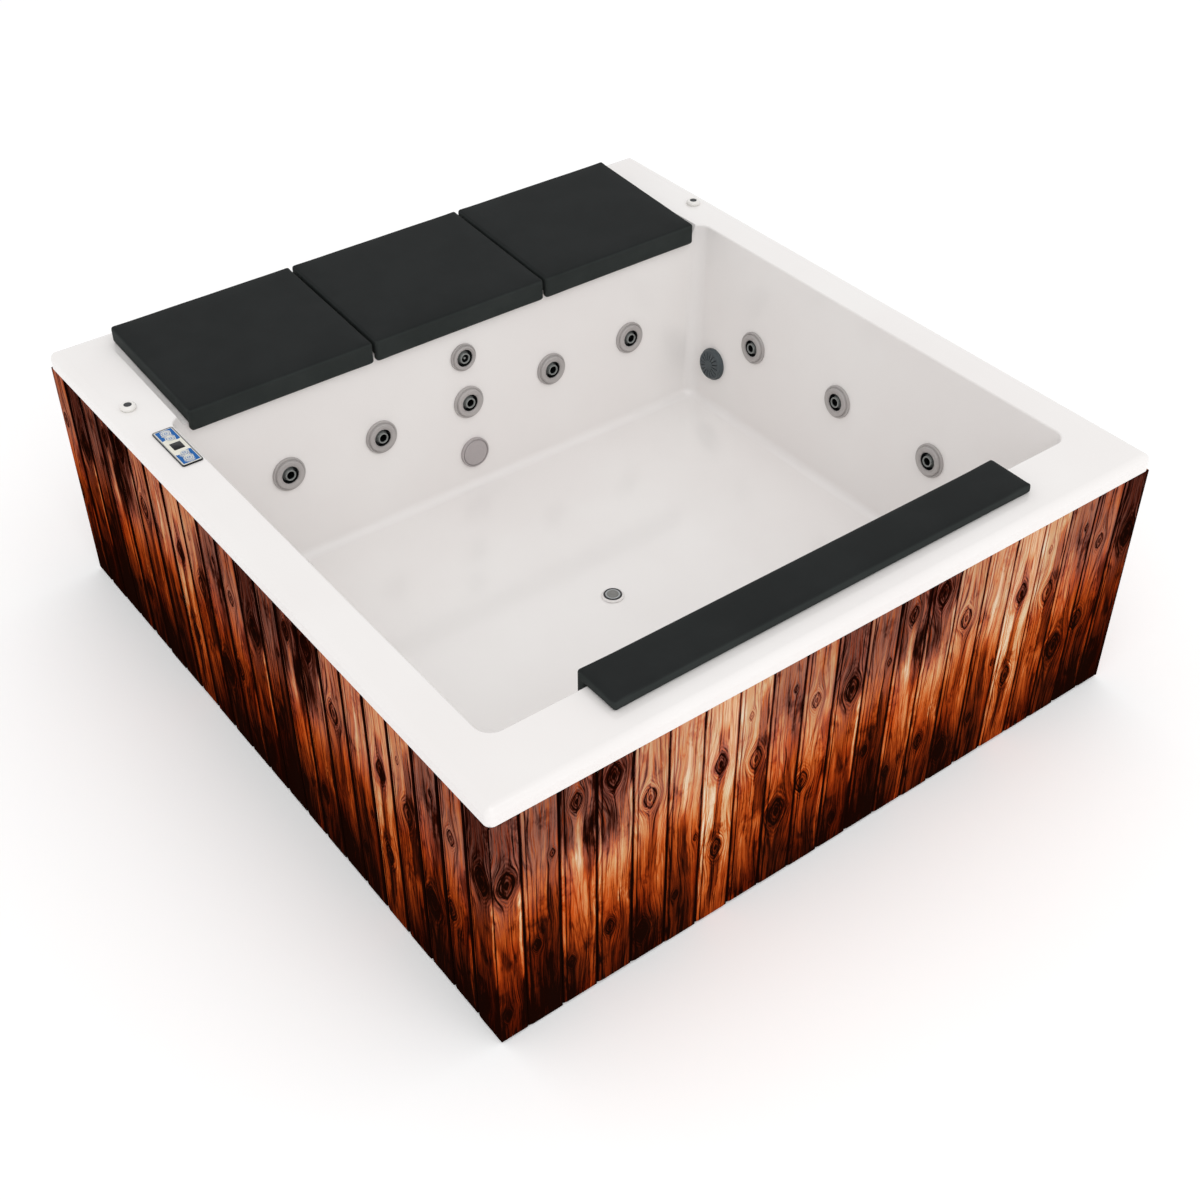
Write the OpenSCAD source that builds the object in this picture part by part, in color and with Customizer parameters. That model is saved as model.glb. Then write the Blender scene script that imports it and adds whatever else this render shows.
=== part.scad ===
// Square outdoor hot tub: moulded shell in a frame clad with upright wooden boards.
// The origin is on the ground under the middle of the tub. Front is -Y, the control panel is at -X.

/* [Overall] */
// Width over the wooden skirt, left to right
tub_w = 1900; // [1800:10:2100]
// Depth over the wooden skirt, front to back
tub_d = 2010; // [1900:10:2200]
// Height of the rim's flat top above the ground
rim_z = 715; // [690:5:780]

/* [Shell] */
// Wall thickness of the moulded shell
shell_t = 8; // [6:0.5:10]
// Height of the rim's turned-down edge
lip_h = 46; // [36:1:60]
// Width of the left and right rims
rim_side_w = 108; // [104:1:130]
// Width of the front rim
rim_front_w = 167; // [150:1:190]
// Width of the back deck, from the skirt to the basin
rim_back_w = 469.5; // [440:0.5:500]
// Plan radius of the rim's outer corners
rim_corner_r = 30; // [26:1:50]
// Rounding of the rim's outer top edge
rim_edge_r = 22; // [12:1:25]
// Rounding of the rim's inner top edge
inner_edge_r = 5; // [2:0.5:8]
// Height of the basin floor above the ground
floor_z = 186; // [176:2:210]
// How far the side walls lean out between floor and rim
side_lean = 60; // [40:1:70]
// How far the front wall leans out between floor and rim
front_lean = 60; // [40:1:70]
// How far the back wall leans out between floor and rim
back_lean = 55.5; // [40:0.5:65]
// Radius of the basin's upright corners
basin_corner_r = 40; // [32:1:60]
// Fillet between the basin floor and its walls
floor_fillet_r = 24; // [14:1:30]

/* [Deck behind the basin] */
// Flat strip of rim behind the deck's recess
back_strip_w = 55; // [50:1:70]
// Distance from the skirt to the deck's recess at each side
deck_side_w = 142; // [136:1:160]
// Forward tilt of the deck, in degrees
deck_tilt = 3.8; // [3:0.1:4.5]
// Outward lean of the recess's side faces, in degrees
deck_side_lean = 23; // [10:1:30]

/* [Pads] */
// Thickness of the back pads
back_pad_t = 48.7; // [40:0.1:55]
// How far the back pads reach past the edge of the basin
back_pad_reach = 26; // [20:0.5:35]
// Height of the lower edge of the back pads' front lips
back_pad_lip_z = 671; // [650:1:680]
// Gap between the side pads' outer ends and the recess
back_pad_end_gap = 11; // [8:1:28]
// Width of the middle back pad
middle_pad_w = 536; // [480:1:600]
// Gap between two back pads
pad_gap = 4; // [2:0.5:8]
// Thickness of the front headrest
headrest_t = 29; // [22:0.5:36]
// Width of the front headrest
headrest_w = 1206; // [1000:2:1300]
// How far the front headrest lies back over the front rim
headrest_seat = 98; // [80:1:110]
// How far the front headrest reaches past the edge of the basin
headrest_reach = 30; // [24:1:36]
// Height of the lower edge of the front headrest's lip
headrest_lip_z = 673; // [650:1:685]
// Rounding of the pads' edges
pad_edge_r = 7; // [4:0.5:9]
// Height of the crown on top of each pad
pad_crown = 2.5; // [1:0.1:4]
// How far the front faces of the pads draw in
pad_draw = 1.2; // [0.4:0.1:2]
// Radius of the pegs that hold the pads in place
peg_r = 6; // [4:0.5:8]
// Height of the pegs above the shell
peg_h = 14; // [8:1:18]

/* [Wall fittings] */
// Height of the row of jets above the ground
jet_z = 446; // [430:1:470]
// Spacing of the five jets in the back wall
back_jet_pitch = 280; // [240:5:300]
// Height of the single upper jet
upper_jet_z = 582; // [575:1:600]
// Spacing of the three jets in each side wall
side_jet_pitch = 351; // [300:1:360]
// Place of the middle jet in each side wall, in front of the centre
side_jet_y = 107; // [100:1:120]
// Radius of the jets' face rings
jet_flange_r = 46.5; // [44:0.5:52]
// Radius of the upper jet's face ring
small_flange_r = 39; // [38.5:0.5:42]
// Radius of the jets' raised inner ring
jet_ring_r = 40; // [37:0.5:41]
// Radius of the upper jet's raised inner ring
small_ring_r = 34; // [31:0.5:35]
// How far the jet faces stand off the wall
jet_face_h = 13.5; // [11:0.5:16]
// Outer radius of the jets' barrels
jet_barrel_r = 33; // [31:0.5:35]
// Depth of the jets' barrels behind the wall
jet_depth = 58; // [54:1:66]
// Radius of the dark recess round each nozzle
jet_recess_r = 24.5; // [23:0.5:26]
// Radius of the ball that each nozzle turns on
jet_ball_r = 20; // [19:0.5:21.5]
// Depth of the ball's centre behind the wall face
jet_ball_depth = 10; // [8:0.5:12]
// Outer radius of each nozzle's tube
nozzle_r = 15; // [13:0.5:16]
// Bore radius of each nozzle's tube
nozzle_bore_r = 11; // [8:0.5:12]
// Radius of the lamp's lens
lamp_r = 44; // [40:1:50]
// How far the lamp's lens stands off the wall
lamp_h = 10; // [8:1:14]
// Height of the lamp above the ground
lamp_z = 288; // [270:1:300]
// Radius of the suction covers
suction_r = 48; // [44:1:54]
// How far the suction covers stand off the wall
suction_h = 20; // [16:1:24]
// Height of the suction covers above the ground
suction_z = 320; // [300:1:326]
// Place of the suction covers behind the centre
suction_y = 400; // [330:5:410]
// Thickness of the sealing rings under the wall fittings
gasket_t = 1.5; // [1:0.25:2.5]

/* [Drain] */
// Place of the drain in front of the centre
drain_y = 149; // [140:1:153]
// Radius of the drain's flange on the floor
drain_flange_r = 30; // [28:0.5:34]
// Radius of the drain plug's disc
plug_r = 23.5; // [22:0.5:24]
// How far the drain plug lifts
plug_lift = 8; // [4:0.5:12]
// Outer radius of the waste pipe
waste_r = 20; // [18:0.5:22]
// Wall of the waste pipe
waste_wall = 4; // [2.5:0.5:5]

/* [Control panel] */
// Length of the control panel along the left rim
panel_l = 168; // [155:1:190]
// Width of the control panel
panel_w = 54; // [50:1:58]
// Height of the control panel above the rim
panel_h = 4.5; // [4:0.1:6]
// Place of the control panel behind the centre
panel_y = 412; // [380:1:440]
// Radius of each key
key_r = 9; // [7:0.5:10]
// Travel of each key
key_travel = 0.8; // [0.4:0.1:1]

/* [Air knobs] */
// Radius of the air knobs
air_knob_r = 20; // [17:0.5:23]
// Height of the air knobs above the rim
air_knob_h = 12; // [10:0.5:16]
// Place of the air knobs behind the centre
air_knob_y = 636; // [610:1:660]

/* [Frame and feet] */
// Height of the levelling feet
foot_h = 30; // [24:1:40]
// Radius of the levelling feet
foot_r = 35; // [28:1:45]
// Thickness of the base pan
pan_t = 12; // [8:1:18]
// Side of the square corner posts
post_w = 60; // [50:1:64]
// Depth of the rails behind the boards
rail_t = 34; // [32:1:36]
// Height of the top rails
top_rail_h = 60; // [50:1:70]
// Height of the lower and middle rails
rail_h = 40; // [30:1:50]
// Height of the middle rails' lower edge above the ground
mid_rail_z = 340; // [300:5:380]
// Width of each plank under the basin floor
bearer_w = 60; // [45:1:70]
// Distance from the skirt to the ends of the planks
bearer_inset = 210; // [200:5:300]

/* [Wooden skirt] */
// Thickness of the boards
board_t = 18; // [14:1:22]
// Spacing of the boards, board and joint together
board_pitch = 92; // [80:1:110]
// Width of the open joint between two boards
board_gap = 2.5; // [1.5:0.5:4]
// Width of the first board on the front and back
front_first_w = 70; // [60:1:90]
// Width of the first board on the left and right
side_first_w = 78.5; // [70:0.5:90]
// Lowest level of the boards' ends above the ground
board_z = 4; // [3:1:12]
// How much the boards' lower ends differ
board_rag = 4; // [0:0.5:6]

/* [Pipes and machines] */
// Outer radius of the water manifold
manifold_r = 19; // [17:0.5:20]
// Height of the water manifold
manifold_z = 374; // [368:1:377]
// Outer radius of the air manifold
air_pipe_r = 10; // [8:0.5:12]
// Height of the air manifold
air_pipe_z = 506; // [500:1:512]
// Outer radius of the suction pipes
suction_pipe_r = 24; // [21:0.5:25]
// Wall of all the water pipes
pipe_wall = 3.5; // [2.5:0.5:4]
// Height of the pump's shaft and of the suction pipes
pump_z = 152; // [145:1:162]
// Distance from the back of the skirt to the pump's shaft
pump_back = 243; // [215:1:255]
// Radius of the pump's motor
motor_r = 75; // [65:1:80]
// Length of the pump's motor
motor_l = 260; // [220:5:290]
// Radius of the pump's wet end
wet_end_r = 92; // [88:1:95]
// Length of the pump's wet end
wet_end_l = 90; // [80:1:100]
// Radius of the pump's shaft
shaft_r = 8; // [6:0.5:10]
// Radius of the heater's tube
heater_r = 32; // [28:1:36]
// Length of the heater's tube
heater_l = 330; // [280:5:360]
// Width of the control box
box_w = 300; // [240:5:340]
// Height of the control box
box_h = 220; // [180:5:260]
// Depth of the control box
box_d = 115; // [100:1:130]
// Bore radius of the cable gland
gland_bore_r = 9; // [7:0.5:10]

/* [Fits] */
// Running clearance of parts that turn or slide
run_gap = 0.05; // [0.02:0.01:0.08]
// Clearance of parts that are fitted and stay still
fit_gap = 0.3; // [0.2:0.05:0.5]
// Clearance of pipe sockets
slip_gap = 0.1; // [0.05:0.05:0.2]

/* [Hidden] */
$fn = 48;
JET_COUNT = 12;
KEY_COUNT = 4;

// One overrun for every cut
cut = 1;

// Basin outline at floor level and at rim level
basin_x = tub_w / 2 - rim_side_w;
basin_front_y = -(tub_d / 2 - rim_front_w);
basin_back_y = tub_d / 2 - rim_back_w;
floor_x = basin_x - side_lean;
floor_front_y = basin_front_y + front_lean;
floor_back_y = basin_back_y - back_lean;
wall_rise = rim_z - floor_z;
side_tilt = atan(side_lean / wall_rise);
front_tilt = atan(front_lean / wall_rise);
back_tilt = atan(back_lean / wall_rise);
under_rim_z = rim_z - shell_t;
corner_steps = 7;
edge_steps = 4;

// Places on the leaning walls at a given height
function side_x(z) = floor_x + side_lean * (z - floor_z) / wall_rise;
function front_y(z) = floor_front_y - front_lean * (z - floor_z) / wall_rise;
function back_y(z) = floor_back_y + back_lean * (z - floor_z) / wall_rise;

// Deck behind the basin
deck_back_y = tub_d / 2 - back_strip_w;
deck_half_w = tub_w / 2 - deck_side_w;
function deck_z(y) = rim_z - (deck_back_y - y) * tan(deck_tilt);
deck_front_y = basin_back_y - back_pad_reach;

// Boards and frame
board_inner_x = tub_w / 2 - board_t;
board_inner_y = tub_d / 2 - board_t;
lip_z = rim_z - lip_h;
pan_z = foot_h;
pan_top_z = foot_h + pan_t;
rail_inner_x = board_inner_x - rail_t;
rail_inner_y = board_inner_y - rail_t;
top_rail_z = under_rim_z - top_rail_h;
rail_edge = 4;
rail_chamfer = rail_edge + max(rim_edge_r - board_t, 0);
foot_inset = 150;
mid_post_w = post_w;
corner_post_x = board_inner_x - post_w / 2;
corner_post_y = board_inner_y - post_w / 2;
bolt_r = 5;
bolt_head_r = 9;
bolt_head_h = 6;
bolt_grip = 48;
bearer_l = tub_w - 2 * bearer_inset;
bearer_pitch = 340;
bearer_mid_y = 149;

// Wall fittings, measured along the wall's normal from its inner face
body_flange_t = 3;
body_flange_inset = 2;
face_skirt_t = 1.5;
face_plate_t = 2.5;
face_chamfer = 1.5;
ring_step = 1;
nut_t = 12;
nut_over = 10;
wall_hole_gap = 0.3;
seat_half = 7;
barrel_end_t = 6;
stub_depth = 38;
stub_r = 12;
stub_bore_r = 9;
air_stub_r = 6;
air_stub_bore_r = 4;
socket_wall = 4;
socket_depth = 8;
body_top = gasket_t + body_flange_t;
ball_back = 14;
pin_r = 3;
pin_reach = jet_ball_r + 3;
nozzle_reach = jet_face_h + jet_ball_depth;

// The jets: wall (0 back, 1 right, -1 left), place along the wall, height, face and ring radius
jets = concat(
    [for (i = [-2:2]) [0, i * back_jet_pitch, jet_z, jet_flange_r, jet_ring_r]],
    [[0, 0, upper_jet_z, small_flange_r, small_ring_r]],
    [for (side = [1, -1]) for (i = [1:-1:-1])
        [side, i * side_jet_pitch - side_jet_y, jet_z, jet_flange_r, jet_ring_r]]);

lamp_barrel_r = 30;
lamp_depth = 40;
lamp_wall = 3;
suction_barrel_r = 28;
suction_depth = 65.5;
suction_stub_depth = 41.5;
cover_t = 3;
cover_slots = 16;
cover_slot_w = 4;
cover_hub_r = 12;
cover_rim_h = 7;
cover_shoulder_share = 0.86;
cover_slot_share = 0.42;

// Drain
drain_tube_r = 21;
drain_bore_r = 17.5;
drain_tube_l = 46;
drain_flange_t = 2.5;
drain_ring_w = 3;
drain_ring_h = 3;
plug_t = 4;
plug_stem_r = 4;
spider_t = 4;
spider_depth = 34;
spider_w = 4;
drain_top_z = floor_z + gasket_t + drain_flange_t;
waste_z = 135;
waste_cup_wall = 4;
waste_cup_h = 14;
waste_end_inset = 2;
waste_socket_r = 17.5;
waste_socket_l = 30;
waste_nut_r = 27;
waste_nut_t = 10;

// Control panel
panel_place_share = 0.69;
panel_x = tub_w / 2 - rim_side_w * panel_place_share;
panel_body_w = 38;
panel_body_l = 148;
panel_body_h = 26;
panel_body_wall = 2.5;
panel_border = 3;
panel_floor_t = 3;
panel_face_t = 1.2;
display_w = 36;
display_l = 40;
key_flange_w = 1.5;
key_flange_t = 0.8;
key_stem_r = 3;
key_stem_l = 6;
key_proud = 1.2;
key_stop_w = 2;
key_pitch = 25;
key_first = 36;
panel_floor_z = rim_z + fit_gap;
panel_face_z = rim_z + panel_h - fit_gap - panel_face_t;
panel_corner_r = 6;
key_under_z = panel_face_z - fit_gap / 3;
keys = [-key_first - key_pitch, -key_first, key_first, key_first + key_pitch];

// Air knobs and valves
air_knob_shift = 1;
air_knob_x = tub_w / 2 - rim_side_w / 2 + air_knob_shift;
knob_top_share = 0.86;
air_flange_r = 18;
air_flange_t = 1.5;
air_barrel_r = 13;
air_body_l = 58;
air_stem_r = 6;
air_stem_l = 30;
air_outlet_r = 9;
air_outlet_bore_r = 6;
air_outlet_l = 18;
air_cap_r = 10;
air_cap_drop = 1.5;
air_notch_r = 24;
air_nut_r = 19;
air_nut_t = 9;

// Pads
pad_seat_gap = 0.3;
pad_arc_steps = 3;
pad_top_steps = 6;
pad_lip_steps = 2;
pad_end_steps = 4;
pad_mid_steps = 8;
pad_inner_r = 2;
pad_least_r = 0.35;
peg_flange_r = 11;
peg_socket_h = 16;
peg_inset = 90;
back_pad_back_y = deck_back_y - fit_gap * 2;
back_pad_end_x = deck_half_w - back_pad_end_gap;
side_pad_w = back_pad_end_x - middle_pad_w / 2 - pad_gap;
side_pad_x = back_pad_end_x - side_pad_w / 2;
headrest_out_y = basin_front_y - headrest_seat;
headrest_in_y = basin_front_y + headrest_reach;
back_lip_y = back_y(back_pad_lip_z) - pad_seat_gap;
headrest_lip_y = -front_y(headrest_lip_z) - pad_seat_gap;
pad_radii = [pad_edge_r, pad_edge_r, pad_edge_r, pad_inner_r, -pad_inner_r, pad_inner_r];
back_pad_corners = [
    [back_pad_back_y, deck_z(back_pad_back_y) + back_pad_t],
    [deck_front_y, deck_z(deck_front_y) + back_pad_t],
    [deck_front_y, back_pad_lip_z],
    [back_lip_y, back_pad_lip_z],
    [back_lip_y, deck_z(back_lip_y) + pad_seat_gap],
    [back_pad_back_y, deck_z(back_pad_back_y) + pad_seat_gap]];
headrest_corners = [
    [-headrest_out_y, rim_z + headrest_t],
    [-headrest_in_y, rim_z + headrest_t],
    [-headrest_in_y, headrest_lip_z],
    [headrest_lip_y, headrest_lip_z],
    [headrest_lip_y, rim_z + pad_seat_gap],
    [-headrest_out_y, rim_z + pad_seat_gap]];
back_pad_xs = [-side_pad_x, 0, side_pad_x];
back_pad_ws = [side_pad_w, middle_pad_w, side_pad_w];
back_peg_y = deck_back_y - peg_inset * 2;
headrest_peg_y = basin_front_y - headrest_seat / 2;

// Pipes: the runs lie straight behind the jets' stubs
pump_y = tub_d / 2 - pump_back;
elbow_share = 1.6;
suction_elbow_share = 1.5;
manifold_y = back_y(jet_z) + stub_depth * cos(back_tilt);
manifold_x = side_x(jet_z) + stub_depth * cos(side_tilt);
elbow_r = elbow_share * manifold_r;
suction_pipe_x = side_x(suction_z) + suction_stub_depth * cos(side_tilt);
suction_link_gap = 140;
suction_link_y = pump_y - suction_link_gap;
suction_elbow_r = suction_elbow_share * suction_pipe_r;
suction_stub_top_z = suction_z - suction_stub_depth * sin(side_tilt);
suction_stub_end_z = suction_stub_top_z - suction_barrel_r - 2 * socket_depth;
side_run_end_y = -side_jet_y - side_jet_pitch - stub_r - socket_wall - socket_depth;
manifold_socket_h = manifold_r + socket_depth;
upper_stub_x = jet_barrel_r + stub_r + socket_wall;
upper_stub_y = back_y(upper_jet_z) + stub_depth * cos(back_tilt);
upper_stub_z = upper_jet_z - stub_depth * sin(back_tilt);
upper_riser_x = upper_stub_x + stub_r + socket_wall;
upper_air_depth = (manifold_y - back_y(upper_jet_z)) / cos(back_tilt);
air_pipe_wall = 2.5;
air_bore_r = air_pipe_r - air_pipe_wall;
air_link_y = manifold_y - elbow_r - 2 * air_pipe_r;

// Pump, heater and control box
wet_end_inset = 390;
wet_end_x = tub_w / 2 - wet_end_inset;
motor_x = wet_end_x - wet_end_l;
volute_wall = 8;
motor_wall = 12;
core_r = 42;
core_gap = 4;
core_l = 150;
impeller_r = 66;
impeller_t = 26;
impeller_vanes = 6;
vane_t = 4;
inlet_r = 30;
motor_foot_w = 120;
motor_foot_l = 160;
motor_foot_t = 10;
fin_count = 24;
fin_h = 5;
fin_t = 3;
riser_x = wet_end_x - wet_end_l / 2;
riser_r = 24;
heater_z = manifold_z;
heater_end_w = 8;
heater_end_t = 12;
heater_x = riser_x - suction_elbow_r - heater_l / 2;
terminal_r = 6;
terminal_h = 22;
return_x = -back_jet_pitch / 4;
box_wall = 3;
box_lid_t = 4;
box_back_y = rail_inner_y;
gland_place_share = 0.739;
gland_board = round((tub_w * gland_place_share - front_first_w) / board_pitch - 0.5);
gland_x = tub_w / 2 - front_first_w - board_pitch * (gland_board + 0.5);
gland_z = 150;
gland_barrel_r = 16;
gland_head_r = 22;
gland_head_t = 9;

// Colours
white_shell = [0.93, 0.92, 0.90];
wood_tone = [0.62, 0.36, 0.20];
frame_wood = [0.76, 0.62, 0.42];
pad_grey = [0.18, 0.19, 0.19];
jet_grey = [0.66, 0.66, 0.65];
dark_plastic = [0.12, 0.13, 0.14];
pipe_white = [0.88, 0.88, 0.86];
zinc = [0.70, 0.72, 0.74];

// Shared shapes

// Points of a rounded rectangle at one height, anticlockwise seen from above
function round_rect(x0, x1, y0, y1, r, z) = [
    for (corner = [0:3])
        for (step = [0:corner_steps])
            let (a = 90 * (corner + step / corner_steps),
                 cx = corner == 0 || corner == 3 ? x1 - r : x0 + r,
                 cy = corner < 2 ? y1 - r : y0 + r)
            [cx + r * cos(a), cy + r * sin(a), z]];

// Solid through a row of rings that all have the same number of points
module loft(rings) {
    count = len(rings[0]);
    last = (len(rings) - 1) * count;
    start_cap = [for (i = [0:count - 1]) i];
    end_cap = [for (i = [count - 1:-1:0]) last + i];
    sides = [for (layer = [0:len(rings) - 2]) for (i = [0:count - 1])
        let (a = layer * count + i, b = layer * count + (i + 1) % count)
        each [[a, a + count, b + count], [a, b + count, b]]];
    polyhedron([for (ring = rings) each ring], concat([start_cap], [end_cap], sides));
}

module ring(outer_r, inner_r, h) {
    difference() {
        cylinder(r = outer_r, h = h);
        translate([0, 0, -cut]) cylinder(r = inner_r, h = h + 2 * cut);
    }
}

// Places a fitting on a leaning wall, with Z along the wall's normal
module at_back_wall(x, z) {
    translate([x, back_y(z), z]) rotate([90 - back_tilt, 0, 0]) children();
}

module at_side_wall(side, y, z) {
    translate([side * side_x(z), y, z])
        rotate([0, 0, -90 * side]) rotate([90 - side_tilt, 0, 0]) children();
}

module at_jet(jet) {
    if (jet[0] == 0) at_back_wall(jet[1], jet[2]) children();
    else at_side_wall(jet[0], jet[1], jet[2]) children();
}

// Turns a wall fitting's frame upright again at a depth behind the wall
module upright(jet_wall, depth) {
    tilt = jet_wall == 0 ? back_tilt : side_tilt;
    translate([0, 0, -depth]) rotate([tilt - 90, 0, 0]) children();
}

module at_suctions() {
    for (side = [1, -1]) at_side_wall(side, suction_y, suction_z) children();
}

module mirror_copy() {
    children();
    mirror([1, 0, 0]) children();
}

// Lays an upright shape along X or along Y, from the given point
module along_x(x, y, z) {
    translate([x, y, z]) rotate([0, 90, 0]) children();
}

module along_y(x, y, z) {
    translate([x, y, z]) rotate([-90, 0, 0]) children();
}

// Tub shell

// Outer form of the rim, or its underside when inset by the wall
module rim_form(inset) {
    half_w = tub_w / 2 - inset;
    half_d = tub_d / 2 - inset;
    r = rim_corner_r - inset;
    edge = rim_edge_r - inset;
    top = rim_z - inset;
    base = inset > 0 ? lip_z - cut : lip_z;
    loft(concat(
        [round_rect(-half_w, half_w, -half_d, half_d, r, base)],
        [for (i = [0:edge_steps])
            let (a = 90 * i / edge_steps, pull = edge * (1 - cos(a)))
            round_rect(-half_w + pull, half_w - pull, -half_d + pull, half_d - pull,
                r - pull, top - edge * (1 - sin(a)))]));
}

// One level of the basin: the walls moved out by the given amount
function basin_ring(z, out, r) = round_rect(
    -side_x(z) - out / cos(side_tilt), side_x(z) + out / cos(side_tilt),
    front_y(z) - out / cos(front_tilt), back_y(z) + out / cos(back_tilt), r, z);

// The basin's cavity, or its outer form when grown by the wall
module basin_form(grow) {
    fillet = floor_fillet_r + grow;
    base = floor_z - grow;
    corner = basin_corner_r + grow;
    top = under_rim_z + shell_t / 2;
    loft(concat(
        [for (i = [0:edge_steps])
            let (a = 90 * i / edge_steps, pull = fillet * (1 - sin(a)))
            basin_ring(base + fillet * (1 - cos(a)), grow - pull, corner - pull)],
        grow > 0 ? [basin_ring(top, grow, corner)] : [
            for (i = [0:edge_steps])
                let (a = 90 * i / edge_steps, flare = inner_edge_r * (1 - cos(a)))
                basin_ring(rim_z - inner_edge_r * (1 - sin(a)), flare, corner + flare)],
        grow > 0 ? [] : [basin_ring(rim_z + cut, inner_edge_r, corner + inner_edge_r)]));
}

// Block under the sloping deck, before its recess is cut
module deck_block() {
    half_w = deck_half_w + shell_t + (rim_z - deck_z(basin_back_y)) * tan(deck_side_lean);
    front = basin_back_y + shell_t / 4;
    back = deck_back_y + shell_t;
    drop = shell_t / cos(deck_tilt);
    translate([half_w, 0, 0]) rotate([90, 0, -90]) linear_extrude(2 * half_w)
        polygon([[-front, deck_z(front) - drop], [-front, under_rim_z + shell_t / 2],
                 [-back, under_rim_z + shell_t / 2], [-back, deck_z(back) - drop]]);
}

// The recess that the back pads lie in
module deck_recess() {
    top = rim_z + cut;
    front = basin_back_y - shell_t;
    function edge_x(y) = deck_half_w + (top - deck_z(y)) * tan(deck_side_lean);
    loft([
        [[deck_half_w, deck_back_y, deck_z(deck_back_y)],
         [-deck_half_w, deck_back_y, deck_z(deck_back_y)],
         [-deck_half_w, front, deck_z(front)], [deck_half_w, front, deck_z(front)]],
        [[edge_x(deck_back_y), deck_back_y, top], [-edge_x(deck_back_y), deck_back_y, top],
         [-edge_x(front), front, top], [edge_x(front), front, top]]]);
}

module wall_hole(r) {
    translate([0, 0, -3 * shell_t]) cylinder(r = r + wall_hole_gap, h = 6 * shell_t);
}

module tub_shell() {
    color(white_shell) difference() {
        union() {
            difference() {
                rim_form(0);
                rim_form(shell_t);
            }
            basin_form(shell_t);
            deck_block();
        }
        basin_form(0);
        deck_recess();
        for (jet = jets) at_jet(jet) wall_hole(jet_barrel_r);
        at_back_wall(0, lamp_z) wall_hole(lamp_barrel_r);
        at_suctions() wall_hole(suction_barrel_r);
        translate([0, -drain_y, floor_z]) wall_hole(drain_tube_r);
        translate([-panel_x, panel_y, under_rim_z])
            cube([panel_body_w + 2 * fit_gap, panel_body_l + 2 * fit_gap, 4 * shell_t], center = true);
        for (side = [1, -1]) translate([side * air_knob_x, air_knob_y, under_rim_z])
            wall_hole(air_barrel_r);
        at_pegs() translate([0, 0, -2 * shell_t]) cylinder(r = peg_r + wall_hole_gap, h = 3 * shell_t);
    }
}

// Frame

module base_pan() {
    color(dark_plastic) difference() {
        translate([-board_inner_x, -board_inner_y, pan_z])
            cube([2 * board_inner_x, 2 * board_inner_y, pan_t]);
        at_posts() translate([0, 0, pan_z - cut]) cylinder(r = bolt_r + slip_gap, h = pan_t + 2 * cut);
    }
}

module levelling_feet() {
    stud_r = foot_r / 4;
    nut_r = foot_r / 2;
    pad_h = foot_h / 3;
    nut_h = foot_h / 5;
    color(zinc) for (x = [-1:1]) for (y = [-1:1])
        translate([x * (tub_w / 2 - foot_inset), y * (tub_d / 2 - foot_inset), 0]) rotate_extrude()
            polygon([[0, 0], [foot_r, 0], [foot_r, pad_h / 2], [nut_r, pad_h], [stud_r, pad_h],
                [stud_r, foot_h - nut_h], [nut_r, foot_h - nut_h], [nut_r, foot_h], [0, foot_h]]);
}

// Centres of the four corner posts and four middle posts
module at_posts() {
    for (x = [-1, 1]) {
        for (y = [-1, 1]) translate([x * corner_post_x, y * corner_post_y, 0]) children();
        translate([x * (board_inner_x - rail_t / 2), 0, 0]) children();
    }
    for (y = [-1, 1]) translate([0, y * (board_inner_y - rail_t / 2), 0]) children();
}

module post(w, d) {
    difference() {
        translate([-w / 2, -d / 2, pan_top_z]) cube([w, d, top_rail_z - pan_top_z]);
        translate([0, 0, pan_top_z - cut]) cylinder(r = bolt_r + slip_gap, h = bolt_grip + cut);
    }
}

module corner_posts() {
    color(frame_wood) {
        for (x = [-1, 1]) {
            for (y = [-1, 1]) translate([x * corner_post_x, y * corner_post_y, 0]) post(post_w, post_w);
            translate([x * (board_inner_x - rail_t / 2), 0, 0]) post(rail_t, mid_post_w);
        }
        for (y = [-1, 1]) translate([0, y * (board_inner_y - rail_t / 2), 0]) post(mid_post_w, rail_t);
    }
}

// Upright rail outline with its outer top corner cut off below the rim's rounding
module rail_outline() {
    polygon([[0, 0], [rail_t, 0], [rail_t, top_rail_h - rail_chamfer],
             [rail_t - rail_chamfer, top_rail_h], [0, top_rail_h]]);
}

module top_rails() {
    half_l = board_inner_y - rail_chamfer;
    color(frame_wood) difference() {
        union() {
            for (side = [0, 1]) mirror([side, 0, 0]) translate([rail_inner_x, half_l, top_rail_z])
                rotate([90, 0, 0]) linear_extrude(2 * half_l) rail_outline();
            for (side = [0, 1]) mirror([0, side, 0]) translate([-rail_inner_x, rail_inner_y, top_rail_z])
                rotate([90, 0, 90]) linear_extrude(2 * rail_inner_x) rail_outline();
        }
        for (side = [1, -1]) translate([side * air_knob_x, air_knob_y, top_rail_z - cut])
            cylinder(r = air_notch_r, h = top_rail_h + 2 * cut);
    }
}

// Rails between the posts at one height
module rail_level(z) {
    side_l = board_inner_y - post_w - mid_post_w / 2;
    end_l = board_inner_x - post_w - mid_post_w / 2;
    for (x = [-1, 1]) for (y = [-1, 1]) {
        translate([x * (board_inner_x - rail_t / 2), y * (mid_post_w + side_l) / 2, z + rail_h / 2])
            cube([rail_t, side_l, rail_h], center = true);
        translate([x * (mid_post_w + end_l) / 2, y * (board_inner_y - rail_t / 2), z + rail_h / 2])
            cube([end_l, rail_t, rail_h], center = true);
    }
}

module cladding_rails() {
    color(frame_wood) {
        rail_level(pan_top_z);
        rail_level(mid_rail_z);
    }
}

module basin_bearers() {
    color(frame_wood) for (i = [-1.5:1.5])
        translate([-bearer_l / 2, i * bearer_pitch - bearer_mid_y - bearer_w / 2, pan_top_z])
            cube([bearer_l, bearer_w, floor_z - shell_t - pan_top_z]);
}

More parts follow.
